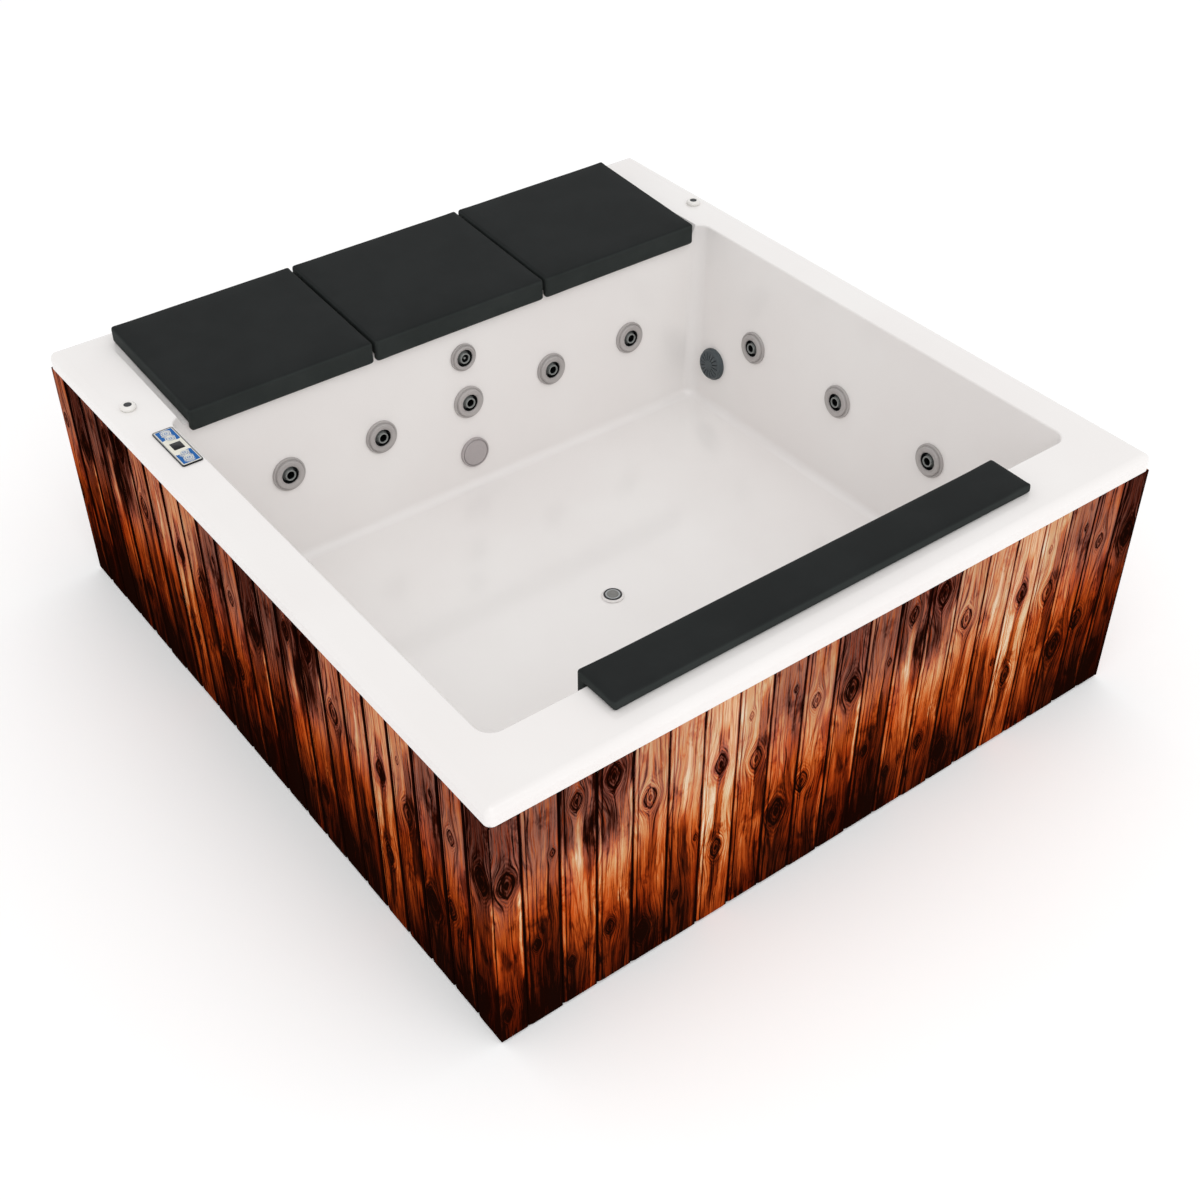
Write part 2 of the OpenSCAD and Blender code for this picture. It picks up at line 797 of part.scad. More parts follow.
module frame_bolts() {
    color(zinc) at_posts() {
        translate([0, 0, pan_z - bolt_head_h]) cylinder(r = bolt_head_r, h = bolt_head_h, $fn = 6);
        translate([0, 0, pan_z - bolt_head_h])
            cylinder(r = bolt_r, h = bolt_head_h + pan_t + bolt_grip - cut);
    }
}

// Wooden skirt

// One wall of upright boards along +X from zero, its outer face at Y zero, mitred at both ends
module board_wall(length, first_w) {
    count = floor((length - first_w) / board_pitch) + 1;
    for (i = [0:count]) {
        start = i == 0 ? 0 : first_w + (i - 1) * board_pitch + board_gap / 2;
        end = i == count ? length : first_w + i * board_pitch - board_gap / 2;
        rag = board_rag * abs(sin(137 * i + 40));
        start_in = i == 0 ? board_t : start;
        end_in = i == count ? length - board_t : end;
        translate([0, 0, board_z + rag]) linear_extrude(lip_z - fit_gap - board_z - rag)
            polygon([[start, 0], [end, 0], [end_in, board_t], [start_in, board_t]]);
    }
}

module skirt_front() {
    color(wood_tone) translate([-tub_w / 2, -tub_d / 2, 0]) board_wall(tub_w, front_first_w);
}

module skirt_left() {
    color(wood_tone) translate([-tub_w / 2, tub_d / 2, 0]) rotate([0, 0, -90])
        board_wall(tub_d, side_first_w);
}

module skirt_right() {
    color(wood_tone) difference() {
        mirror([1, 0, 0]) translate([-tub_w / 2, tub_d / 2, 0]) rotate([0, 0, -90])
            board_wall(tub_d, side_first_w);
        along_x(rail_inner_x, -drain_y, waste_z)
            cylinder(r = waste_r + fit_gap, h = rail_t + board_t + cut);
    }
}

module skirt_back() {
    color(wood_tone) difference() {
        rotate([0, 0, 180]) translate([-tub_w / 2, -tub_d / 2, 0]) board_wall(tub_w, front_first_w);
        along_y(gland_x, box_back_y, gland_z)
            cylinder(r = gland_barrel_r + fit_gap, h = rail_t + board_t + cut);
    }
}

// Jets and other wall fittings

// Pins that a nozzle tilts on, or their sockets when grown
module ball_pins(grow) {
    reach = pin_reach + grow;
    along_x(-reach, 0, 0) cylinder(r = pin_r + grow, h = 2 * reach);
}

module jet_body(jet) {
    wall = jet[0];
    is_upper = jet[2] == upper_jet_z;
    flange_r = jet[3] - body_flange_inset;
    depth_z = jet[2] - stub_depth * sin(wall == 0 ? back_tilt : side_tilt);
    air_depth = is_upper ? upper_air_depth : stub_depth;
    air_z = jet[2] - air_depth * sin(wall == 0 ? back_tilt : side_tilt);
    drop = is_upper ? upper_stub_x : depth_z - manifold_z - manifold_r - socket_depth / 2;
    rise = is_upper ? air_z - air_pipe_z - air_pipe_r : air_pipe_z - air_pipe_r - air_z;
    run_turn = is_upper ? [0, 90, 0] : [180, 0, 0];
    air_turn = is_upper ? [180, 0, 0] : [0, 0, 0];
    at_jet(jet) difference() {
        union() {
            translate([0, 0, -jet_depth]) cylinder(r = jet_barrel_r, h = jet_depth + gasket_t);
            translate([0, 0, gasket_t]) cylinder(r = flange_r, h = body_flange_t);
            upright(wall, stub_depth) rotate(run_turn) cylinder(r = stub_r, h = drop);
            upright(wall, air_depth) rotate(air_turn) cylinder(r = air_stub_r, h = rise);
        }
        translate([0, 0, -jet_ball_depth]) {
            sphere(r = jet_ball_r + run_gap);
            ball_pins(run_gap);
        }
        translate([0, 0, seat_half - jet_ball_depth])
            cylinder(r = jet_recess_r, h = jet_ball_depth + body_top);
        translate([0, 0, barrel_end_t - jet_depth])
            cylinder(r = jet_recess_r, h = jet_depth - barrel_end_t - jet_ball_depth - seat_half);
        upright(wall, stub_depth) rotate(run_turn) cylinder(r = stub_bore_r, h = drop + cut);
        upright(wall, air_depth) rotate(air_turn) cylinder(r = air_stub_bore_r, h = rise + cut);
    }
}

module jet_bodies() {
    color(dark_plastic) for (jet = jets) jet_body(jet);
}

module wall_gaskets() {
    inset = body_flange_inset + face_skirt_t;
    color([0.2, 0.2, 0.2]) {
        for (jet = jets) at_jet(jet) ring(jet[3] - inset, jet_barrel_r + slip_gap, gasket_t);
        at_back_wall(0, lamp_z) ring(lamp_r - inset, lamp_barrel_r + slip_gap, gasket_t);
        at_suctions() ring(suction_r - inset, suction_barrel_r + slip_gap, gasket_t);
        translate([0, -drain_y, floor_z])
            ring(drain_flange_r - body_flange_inset, drain_tube_r + slip_gap, gasket_t);
    }
}

// Ring nut with six lugs behind the wall
module wall_nut(r) {
    translate([0, 0, -shell_t - nut_t]) {
        ring(r + nut_over, r + slip_gap, nut_t);
        for (i = [0:5]) rotate([0, 0, 60 * i]) translate([r + nut_over - cut, -nut_t / 4, nut_t / 6])
            cube([nut_t / 4 + cut, nut_t / 2, nut_t * 2 / 3]);
    }
}

module wall_nuts() {
    color(dark_plastic) {
        for (jet = jets) at_jet(jet) wall_nut(jet_barrel_r);
        at_back_wall(0, lamp_z) wall_nut(lamp_barrel_r);
        at_suctions() wall_nut(suction_barrel_r);
        translate([0, -drain_y, floor_z]) wall_nut(drain_tube_r);
    }
}

// Ring with a thin outer flange and a raised inner ring, open for the nozzle
module jet_face(flange_r, ring_r) {
    plate_top = body_top + face_plate_t;
    lip = face_skirt_t;
    rotate_extrude() polygon([
        [jet_recess_r, body_top], [flange_r - lip, body_top], [flange_r - lip, fit_gap],
        [flange_r, fit_gap], [flange_r, plate_top - face_chamfer], [flange_r - face_chamfer, plate_top],
        [ring_r + face_chamfer, plate_top], [ring_r, plate_top - ring_step / 2],
        [ring_r - ring_step, jet_face_h - face_chamfer],
        [ring_r - ring_step - face_chamfer, jet_face_h], [jet_recess_r + 2 * face_chamfer, jet_face_h],
        [jet_recess_r, jet_face_h - 2 * face_chamfer]]);
}

module jet_faces() {
    color(jet_grey) for (jet = jets) at_jet(jet) jet_face(jet[3], jet[4]);
}

module jet_nozzle(index) {
    tube_r = nozzle_r - face_chamfer / 2;
    color(jet_grey) at_jet(jets[index - 1]) translate([0, 0, -jet_ball_depth]) difference() {
        union() {
            intersection() {
                sphere(r = jet_ball_r);
                translate([0, 0, -ball_back]) cylinder(r = jet_ball_r + cut, h = ball_back + nozzle_reach);
            }
            ball_pins(0);
            cylinder(r = nozzle_r, h = nozzle_reach - face_chamfer);
            cylinder(r = tube_r, h = nozzle_reach);
        }
        translate([0, 0, -jet_ball_r])
            cylinder(r = nozzle_bore_r, h = jet_ball_r + nozzle_reach + cut);
    }
}

module lamp_body() {
    color(dark_plastic) at_back_wall(0, lamp_z) difference() {
        union() {
            translate([0, 0, -lamp_depth]) cylinder(r = lamp_barrel_r, h = lamp_depth + gasket_t);
            translate([0, 0, gasket_t]) cylinder(r = lamp_r - body_flange_inset, h = body_flange_t);
        }
        translate([0, 0, lamp_wall - lamp_depth])
            cylinder(r = lamp_barrel_r - lamp_wall, h = lamp_depth + lamp_r);
    }
}

module lamp_lens() {
    inner = lamp_r - face_skirt_t;
    edge = lamp_h - body_top;
    color([0.66, 0.64, 0.64]) at_back_wall(0, lamp_z) rotate_extrude() polygon([
        [0, body_top], [inner, body_top], [inner, fit_gap], [lamp_r, fit_gap],
        [lamp_r, body_top + edge / 3], [lamp_r - edge / 3, body_top + 2 * edge / 3],
        [lamp_r - edge, lamp_h - face_chamfer / 2], [0, lamp_h]]);
}

module suction_bodies() {
    drop = suction_stub_top_z - suction_stub_end_z;
    color(pipe_white) at_suctions() difference() {
        union() {
            translate([0, 0, -suction_depth]) cylinder(r = suction_barrel_r, h = suction_depth + gasket_t);
            translate([0, 0, gasket_t]) cylinder(r = suction_r - body_flange_inset, h = body_flange_t);
            upright(1, suction_stub_depth) rotate([180, 0, 0])
                cylinder(r = suction_pipe_r - pipe_wall, h = drop);
        }
        translate([0, 0, barrel_end_t - suction_depth])
            cylinder(r = suction_barrel_r - socket_wall, h = suction_depth + body_top);
        upright(1, suction_stub_depth) rotate([180, 0, 0])
            cylinder(r = suction_pipe_r - 2 * pipe_wall, h = drop + cut);
    }
}

// Domed cover with slots round its side and a plain hub
module suction_cover() {
    inner_top = suction_h - cover_t;
    shoulder = suction_r * cover_shoulder_share;
    difference() {
        rotate_extrude() polygon([
            [suction_r - face_skirt_t, fit_gap], [suction_r, fit_gap], [suction_r, cover_rim_h],
            [shoulder, suction_h - cover_t], [cover_hub_r, suction_h], [0, suction_h], [0, inner_top],
            [cover_hub_r, inner_top], [shoulder - cover_t, inner_top - cover_t],
            [suction_r - cover_t, cover_rim_h], [suction_r - cover_t, body_top],
            [suction_r - face_skirt_t, body_top]]);
        for (i = [0:cover_slots - 1]) rotate([0, 0, 360 * i / cover_slots])
            translate([cover_hub_r + cover_t, -cover_slot_w / 2, inner_top - 2 * cover_t])
            cube([suction_r * cover_slot_share, cover_slot_w, 4 * cover_t]);
    }
}

module suction_covers() {
    color([0.29, 0.31, 0.32]) at_suctions() suction_cover();
}

// Drain

module drain_flange() {
    seat_z = floor_z + gasket_t;
    guide_r = plug_stem_r + run_gap;
    color([0.35, 0.35, 0.37]) translate([0, -drain_y, 0]) {
        difference() {
            union() {
                translate([0, 0, seat_z]) ring(drain_flange_r, drain_bore_r, drain_flange_t);
                translate([0, 0, drain_top_z - cut])
                    ring(plug_r + fit_gap * 2 + drain_ring_w, plug_r + fit_gap * 2, drain_ring_h + cut);
                translate([0, 0, drain_top_z - drain_tube_l]) ring(drain_tube_r, drain_bore_r, drain_tube_l);
                for (i = [0:2]) rotate([0, 0, 120 * i])
                    translate([0, -spider_w / 2, drain_top_z - spider_depth])
                    cube([drain_bore_r + cut, spider_w, spider_t]);
                translate([0, 0, drain_top_z - spider_depth]) cylinder(r = 2 * plug_stem_r, h = spider_t);
            }
            translate([0, 0, drain_top_z - spider_depth - cut]) cylinder(r = guide_r, h = spider_t + 2 * cut);
        }
    }
}

module drain_plug() {
    stem_l = spider_depth + fit_gap + plug_lift + spider_t;
    color([0.62, 0.62, 0.63]) translate([0, -drain_y, drain_top_z + fit_gap]) {
        rotate_extrude() polygon([[0, 0], [plug_r, 0], [plug_r, plug_t - face_chamfer],
            [plug_r - face_chamfer, plug_t], [0, plug_t]]);
        translate([0, 0, -stem_l]) cylinder(r = plug_stem_r, h = stem_l);
    }
}

module drain_waste() {
    cup_r = drain_tube_r + waste_cup_wall;
    cup_floor_z = waste_z - waste_r;
    cup_top_z = drain_top_z - drain_tube_l + waste_cup_h;
    run_l = tub_w / 2 - waste_end_inset;
    color(pipe_white) translate([0, -drain_y, 0]) {
        difference() {
            union() {
                translate([0, 0, cup_floor_z - waste_wall])
                    cylinder(r = cup_r, h = cup_top_z - cup_floor_z + waste_wall);
                along_x(0, 0, waste_z) cylinder(r = waste_r, h = run_l);
                along_x(rail_inner_x, 0, waste_z)
                    cylinder(r = waste_nut_r, h = waste_nut_t);
            }
            translate([0, 0, drain_top_z - drain_tube_l])
                cylinder(r = drain_tube_r + slip_gap, h = waste_cup_h + cut);
            translate([0, 0, cup_floor_z]) cylinder(r = drain_bore_r, h = cup_top_z - cup_floor_z);
            along_x(0, 0, waste_z) cylinder(r = waste_r - waste_wall, h = run_l + cut);
            along_x(run_l - waste_socket_l, 0, waste_z)
                cylinder(r = waste_socket_r, h = waste_socket_l + cut);
        }
    }
}

// Control panel on the left rim

module panel_plate(w, l, h, r) {
    linear_extrude(h) polygon([
        for (corner = [0:3]) for (step = [0:corner_steps])
            let (a = 90 * (corner + step / corner_steps),
                 cx = corner == 0 || corner == 3 ? w / 2 - r : r - w / 2,
                 cy = corner < 2 ? l / 2 - r : r - l / 2)
            [cx + r * cos(a), cy + r * sin(a)]]);
}

module at_keys() {
    for (y = keys) translate([0, y, 0]) children();
}

module panel_frame() {
    inner_w = panel_w - 2 * panel_border;
    inner_l = panel_l - 2 * panel_border;
    hollow_w = panel_body_w - 2 * panel_body_wall;
    hollow_l = panel_body_l - 2 * panel_body_wall;
    box_top = panel_floor_z - panel_floor_t;
    stop_h = key_under_z - key_flange_t - key_travel - fit_gap / 3 - box_top;
    color(dark_plastic) translate([-panel_x, panel_y, 0]) difference() {
        union() {
            difference() {
                union() {
                    translate([0, 0, rim_z]) panel_plate(panel_w, panel_l, panel_h, panel_corner_r);
                    translate([-panel_body_w / 2, -panel_body_l / 2, rim_z - panel_body_h])
                        cube([panel_body_w, panel_body_l, panel_body_h + panel_h / 2]);
                }
                translate([0, 0, panel_floor_z])
                    panel_plate(inner_w, inner_l, panel_h, panel_corner_r - panel_border);
            }
            at_keys() translate([0, 0, box_top]) cylinder(r = key_stem_r + key_stop_w, h = stop_h);
        }
        translate([-hollow_w / 2, -hollow_l / 2, rim_z - panel_body_h - cut])
            cube([hollow_w, hollow_l, box_top - rim_z + panel_body_h + cut]);
        at_keys() translate([0, 0, box_top - cut])
            cylinder(r = key_stem_r + run_gap, h = stop_h + 2 * cut);
    }
}

module panel_face() {
    w = panel_w - 2 * panel_border - 2 * fit_gap;
    l = panel_l - 2 * panel_border - 2 * fit_gap;
    rib_h = panel_face_z - panel_floor_z;
    color([0.90, 0.89, 0.84]) translate([-panel_x, panel_y, 0]) {
        difference() {
            translate([0, 0, panel_face_z])
                panel_plate(w, l, panel_face_t, panel_corner_r - panel_border);
            translate([0, 0, panel_face_z - cut]) linear_extrude(panel_face_t + 2 * cut)
                square([display_w + 2 * slip_gap, display_l + 2 * slip_gap], center = true);
            at_keys() translate([0, 0, panel_face_z - cut])
                cylinder(r = key_r + fit_gap, h = panel_face_t + 2 * cut);
        }
        for (side = [-1, 1]) translate([-w / 4, side * (l / 2 - panel_border), panel_floor_z])
            cube([w / 2, panel_border / 2, rib_h]);
    }
}

module panel_display() {
    color([0.03, 0.03, 0.04])
        translate([-panel_x - display_w / 2, panel_y - display_l / 2, panel_floor_z])
        cube([display_w, display_l, panel_h + fit_gap]);
}

module panel_button(index) {
    top_z = rim_z + panel_h + key_proud;
    flange_z = key_under_z - key_flange_t;
    color([0.1, 0.35, 0.75]) translate([-panel_x, panel_y + keys[index - 1], flange_z]) {
        cylinder(r = key_r, h = top_z - flange_z);
        cylinder(r = key_r + key_flange_w, h = key_flange_t);
        translate([0, 0, -key_stem_l]) cylinder(r = key_stem_r, h = key_stem_l + key_flange_t);
    }
}

// Air knobs and their valves on the side rims

module air_knob(side) {
    base_z = rim_z + air_flange_t + fit_gap;
    h = air_knob_h - air_flange_t - fit_gap;
    grip_r = air_knob_r * knob_top_share;
    color(white_shell) translate([side * air_knob_x, air_knob_y, base_z]) {
        rotate_extrude() polygon([
            [0, 0], [air_knob_r, 0], [air_knob_r, h / 3], [grip_r, h - face_chamfer],
            [grip_r - face_chamfer, h], [air_cap_r, h], [air_cap_r, h - air_cap_drop],
            [0, h - air_cap_drop]]);
        translate([0, 0, -air_stem_l]) cylinder(r = air_stem_r, h = air_stem_l);
    }
}

module air_valve_bodies() {
    stem_gap_l = air_stem_l + air_flange_t;
    color(pipe_white) for (side = [1, -1]) translate([side * air_knob_x, air_knob_y, rim_z]) {
        difference() {
            union() {
                cylinder(r = air_flange_r, h = air_flange_t);
                translate([0, 0, -air_body_l]) cylinder(r = air_barrel_r, h = air_body_l);
                translate([0, 0, -air_body_l - air_outlet_l])
                    cylinder(r = air_outlet_r, h = air_outlet_l + cut);
            }
            translate([0, 0, -stem_gap_l])
                cylinder(r = air_stem_r + run_gap, h = stem_gap_l + air_flange_t + cut);
            translate([0, 0, -air_body_l - air_outlet_l - cut])
                cylinder(r = air_outlet_bore_r, h = air_body_l + air_outlet_l);
        }
        translate([0, 0, -shell_t - air_nut_t]) ring(air_nut_r, air_barrel_r + slip_gap, air_nut_t);
    }
}

// Pipes

// A quarter bend from +Z towards +X, starting at the origin
module bend(r, wall, bend_r) {
    translate([bend_r, 0, 0]) rotate([90, 0, 0]) rotate([0, 0, 90]) rotate_extrude(angle = 90)
        translate([bend_r, 0]) difference() {
            circle(r = r);
            circle(r = r - wall);
        }
}

// Quarter bend of pipe in the X-Y plane round the origin, from +X to +Y
module flat_bend(r, wall, bend_r) {
    rotate_extrude(angle = 90) translate([bend_r, 0]) difference() {
        circle(r = r);
        circle(r = r - wall);
    }
}

// The jets of the lower row in one wall
function low_jets(wall) = [for (jet = jets) if (jet[0] == wall && jet[2] != upper_jet_z) jet];

// Socket that takes a jet's stub, standing up from a run's axis
module stub_socket(h) {
    cylinder(r = stub_r + socket_wall, h = h);
}

module stub_socket_bore(h) {
    cylinder(r = stub_bore_r, h = h + cut);
    translate([0, 0, h - socket_depth / 2]) cylinder(r = stub_r + slip_gap, h = socket_depth);
}

module water_back_run() {
    half_l = manifold_x - elbow_r;
    bore_r = manifold_r - pipe_wall;
    riser_h = upper_stub_z - manifold_z;
    difference() {
        union() {
            along_x(-half_l, manifold_y, manifold_z) cylinder(r = manifold_r, h = 2 * half_l);
            for (jet = low_jets(0)) translate([jet[1], manifold_y, manifold_z])
                stub_socket(manifold_socket_h);
            translate([upper_riser_x, upper_stub_y, manifold_z])
                cylinder(r = stub_r + socket_wall, h = riser_h + stub_r);
            along_y(return_x, manifold_y, manifold_z)
                cylinder(r = riser_r + socket_wall, h = manifold_socket_h);
        }
        along_x(-half_l - cut, manifold_y, manifold_z) cylinder(r = bore_r, h = 2 * half_l + 2 * cut);
        for (jet = low_jets(0)) translate([jet[1], manifold_y, manifold_z])
            stub_socket_bore(manifold_socket_h);
        translate([upper_riser_x, upper_stub_y, manifold_z]) cylinder(r = stub_bore_r, h = riser_h);
        along_x(upper_stub_x, upper_stub_y, upper_stub_z)
            cylinder(r = stub_bore_r, h = upper_riser_x - upper_stub_x);
        along_y(return_x, manifold_y, manifold_z) {
            cylinder(r = stub_r, h = manifold_socket_h);
            translate([0, 0, manifold_r]) cylinder(r = riser_r + slip_gap, h = socket_depth + cut);
        }
    }
}

module water_side_run() {
    run_l = manifold_y - elbow_r - side_run_end_y;
    difference() {
        union() {
            along_y(manifold_x, side_run_end_y, manifold_z)
                cylinder(r = manifold_r, h = run_l);
            for (jet = low_jets(1)) translate([manifold_x, jet[1], manifold_z])
                stub_socket(manifold_socket_h);
        }
        along_y(manifold_x, side_run_end_y + pipe_wall, manifold_z)
            cylinder(r = manifold_r - pipe_wall, h = run_l);
        for (jet = low_jets(1)) translate([manifold_x, jet[1], manifold_z])
            stub_socket_bore(manifold_socket_h);
    }
}

module water_manifold() {
    color(pipe_white) {
        water_back_run();
        mirror_copy() {
            translate([manifold_x - elbow_r, manifold_y - elbow_r, manifold_z])
                flat_bend(manifold_r, pipe_wall, elbow_r);
            water_side_run();
        }
    }
}

// One half of the back run, closed beside the upper jet's riser and open at its bend
module air_back_run(side) {
    inner_x = upper_riser_x + side * (stub_r + 2 * socket_wall);
    outer_x = side * (manifold_x - elbow_r);
    run_l = abs(outer_x - inner_x);
    difference() {
        along_x(min(inner_x, outer_x), manifold_y, air_pipe_z) cylinder(r = air_pipe_r, h = run_l);
        along_x(side > 0 ? inner_x + air_pipe_wall : outer_x - cut, manifold_y, air_pipe_z)
            cylinder(r = air_bore_r, h = run_l - air_pipe_wall + cut);
        for (jet = low_jets(0)) if (side * (jet[1] - inner_x) > 0)
            translate([jet[1], manifold_y, air_pipe_z - air_pipe_r - cut])
            cylinder(r = air_stub_bore_r, h = air_pipe_r);
        if (side < 0) translate([0, manifold_y, air_pipe_z])
            cylinder(r = air_stub_bore_r, h = air_pipe_r + cut);
    }
}

// Side run with the branch that leads back to its air valve
module air_side_run() {
    run_l = manifold_y - elbow_r - side_run_end_y;
    difference() {
        union() {
            along_y(manifold_x, side_run_end_y, air_pipe_z)
                cylinder(r = air_pipe_r, h = run_l);
            along_x(manifold_x, air_link_y, air_pipe_z) cylinder(r = air_pipe_r, h = air_knob_x - manifold_x);
        }
        along_y(manifold_x, side_run_end_y + air_pipe_wall, air_pipe_z)
            cylinder(r = air_bore_r, h = run_l);
        along_x(manifold_x, air_link_y, air_pipe_z)
            cylinder(r = air_bore_r, h = air_knob_x - manifold_x + cut);
        for (jet = low_jets(1)) translate([manifold_x, jet[1], air_pipe_z - air_pipe_r - cut])
            cylinder(r = air_stub_bore_r, h = air_pipe_r);
    }
}

// Riser with its elbow block, from the branch up to the air valve
module air_riser() {
    block_r = air_outlet_r + socket_wall;
    outlet_end_z = rim_z - air_body_l - air_outlet_l;
    difference() {
        union() {
            translate([air_knob_x, air_knob_y, air_pipe_z - block_r])
                cylinder(r = block_r, h = outlet_end_z + socket_depth - air_pipe_z + block_r);
            along_y(air_knob_x, air_link_y + air_pipe_r, air_pipe_z)
                cylinder(r = air_pipe_r, h = air_knob_y - air_link_y - air_pipe_r);
        }
        translate([air_knob_x, air_knob_y, air_pipe_z])
            cylinder(r = air_outlet_bore_r, h = outlet_end_z - air_pipe_z + cut);
        translate([air_knob_x, air_knob_y, outlet_end_z])
            cylinder(r = air_outlet_r + slip_gap, h = socket_depth + cut);
        along_y(air_knob_x, air_link_y + air_pipe_r - cut, air_pipe_z)
            cylinder(r = air_bore_r, h = air_knob_y - air_link_y - air_pipe_r + cut);
    }
}

// Corner block where the branch turns back to the riser
module air_corner() {
    block = 2 * air_pipe_r;
    difference() {
        translate([air_knob_x, air_link_y - air_pipe_r, air_pipe_z - air_pipe_r]) cube([block, block, block]);
        along_x(air_knob_x - cut, air_link_y, air_pipe_z) cylinder(r = air_bore_r, h = air_pipe_r + cut);
        along_y(air_knob_x + air_bore_r, air_link_y, air_pipe_z)
            cylinder(r = air_bore_r, h = block);
    }
}

module air_manifold() {
    color(pipe_white) {
        for (side = [-1, 1]) air_back_run(side);
        mirror_copy() {
            translate([manifold_x - elbow_r, manifold_y - elbow_r, air_pipe_z])
                flat_bend(air_pipe_r, air_pipe_wall, elbow_r);
            air_side_run();
            air_riser();
            air_corner();
        }
    }
}

// Both suction runs as one outer form, or as their bore
module suction_runs(r, extra) {
    corner_z = pump_z + suction_elbow_r;
    corner_y = suction_y + suction_elbow_r;
    pump_end_x = wet_end_x + inlet_r / 2;
    mirror_copy() {
        translate([suction_pipe_x, suction_y, corner_z])
            cylinder(r = r, h = suction_stub_end_z + extra - corner_z);
        translate([suction_pipe_x, suction_y, corner_z]) rotate([0, 0, 90]) rotate([0, 180, 180])
            translate([suction_elbow_r, 0, 0]) rotate([90, 0, 0]) rotate([0, 0, 90])
            rotate_extrude(angle = 90) translate([suction_elbow_r, 0]) circle(r = r);
    }
    along_y(-suction_pipe_x, corner_y, pump_z)
        cylinder(r = r, h = suction_link_y - corner_y);
    translate([-suction_pipe_x, suction_link_y, pump_z]) sphere(r = r);
    along_x(-suction_pipe_x, suction_link_y, pump_z)
        cylinder(r = r, h = 2 * suction_pipe_x);
    along_y(suction_pipe_x, corner_y, pump_z)
        cylinder(r = r, h = pump_y - suction_elbow_r - corner_y);
    translate([suction_pipe_x - suction_elbow_r, pump_y - suction_elbow_r, pump_z]) rotate_extrude(angle = 90)
        translate([suction_elbow_r, 0]) circle(r = r);
    along_x(pump_end_x + (extra > 0 ? 0 : -cut), pump_y, pump_z)
        cylinder(r = r, h = suction_pipe_x - suction_elbow_r - pump_end_x + (extra > 0 ? 0 : cut));
}

module suction_pipe() {
    color(pipe_white) difference() {
        suction_runs(suction_pipe_r, socket_depth);
        suction_runs(suction_pipe_r - 2 * pipe_wall, 0);
        mirror_copy() translate([suction_pipe_x, suction_y, suction_stub_end_z])
            cylinder(r = suction_pipe_r - pipe_wall + slip_gap, h = socket_depth + cut);
    }
}

// Pump

module pump_motor() {
    foot_z = pump_z - motor_r + motor_wall;
    foot_x = motor_x - motor_l / 2 - motor_foot_l / 2;
    color([0.2, 0.22, 0.25]) difference() {
        union() {
            along_x(motor_x - motor_l, pump_y, pump_z) cylinder(r = motor_r - fin_h, h = motor_l);
            along_x(motor_x - motor_l + motor_wall, pump_y, pump_z)
                for (i = [0:fin_count - 1]) rotate([0, 0, 360 * i / fin_count])
                translate([motor_r - fin_h - cut, -fin_t / 2, 0])
                cube([fin_h + cut, fin_t, motor_l - 2 * motor_wall]);
            translate([foot_x, pump_y - motor_foot_w / 2, pan_top_z])
                cube([motor_foot_l, motor_foot_w, motor_foot_t]);
            for (x = [foot_x, foot_x + motor_foot_l - motor_foot_t])
                translate([x, pump_y - motor_foot_w / 3, pan_top_z])
                cube([motor_foot_t, 2 * motor_foot_w / 3, foot_z - pan_top_z]);
        }
        along_x(motor_x - motor_l + motor_wall, pump_y, pump_z)
            cylinder(r = core_r + core_gap, h = motor_l - 2 * motor_wall);
        along_x(motor_x - motor_l + motor_wall / 2, pump_y, pump_z)
            cylinder(r = shaft_r + run_gap, h = motor_l);
    }
}

module pump_wet_end() {
    cavity_r = impeller_r + core_gap;
    cavity_l = impeller_t + 2 * core_gap;
    cavity_x = wet_end_x - volute_wall - cavity_l;
    color([0.15, 0.16, 0.18]) difference() {
        union() {
            along_x(motor_x, pump_y, pump_z) cylinder(r = wet_end_r, h = wet_end_l);
            along_x(wet_end_x, pump_y, pump_z) cylinder(r = inlet_r, h = inlet_r / 2);
            translate([riser_x, pump_y, pump_z])
                cylinder(r = riser_r + socket_wall, h = wet_end_r + socket_depth);
        }
        along_x(cavity_x, pump_y, pump_z) cylinder(r = cavity_r, h = cavity_l);
        along_x(wet_end_x - volute_wall - cut, pump_y, pump_z)
            cylinder(r = suction_pipe_r - pipe_wall, h = volute_wall + inlet_r);
        translate([riser_x, pump_y, pump_z])
            cylinder(r = riser_r - pipe_wall, h = wet_end_r + 2 * socket_depth);
        translate([riser_x, pump_y, pump_z + wet_end_r])
            cylinder(r = riser_r + slip_gap, h = socket_depth + cut);
        along_x(motor_x - cut, pump_y, pump_z)
            cylinder(r = shaft_r + run_gap, h = wet_end_l - volute_wall);
    }
}

module pump_rotor() {
    shaft_start = motor_x - motor_l + motor_wall / 2 + fit_gap;
    impeller_x = wet_end_x - volute_wall - core_gap - impeller_t;
    color([0.72, 0.73, 0.75]) {
        along_x(shaft_start, pump_y, pump_z)
            cylinder(r = shaft_r, h = impeller_x + impeller_t - shaft_start);
        along_x(motor_x - motor_l / 2 - core_l / 2, pump_y, pump_z) cylinder(r = core_r, h = core_l);
        along_x(impeller_x, pump_y, pump_z) {
            cylinder(r = impeller_r, h = vane_t);
            for (i = [0:impeller_vanes - 1]) rotate([0, 0, 360 * i / impeller_vanes])
                translate([shaft_r - cut, -vane_t / 2, vane_t - cut])
                cube([impeller_r - shaft_r - cut, vane_t, impeller_t - vane_t + cut]);
        }
    }
}

// Heater and the pipes at its ends

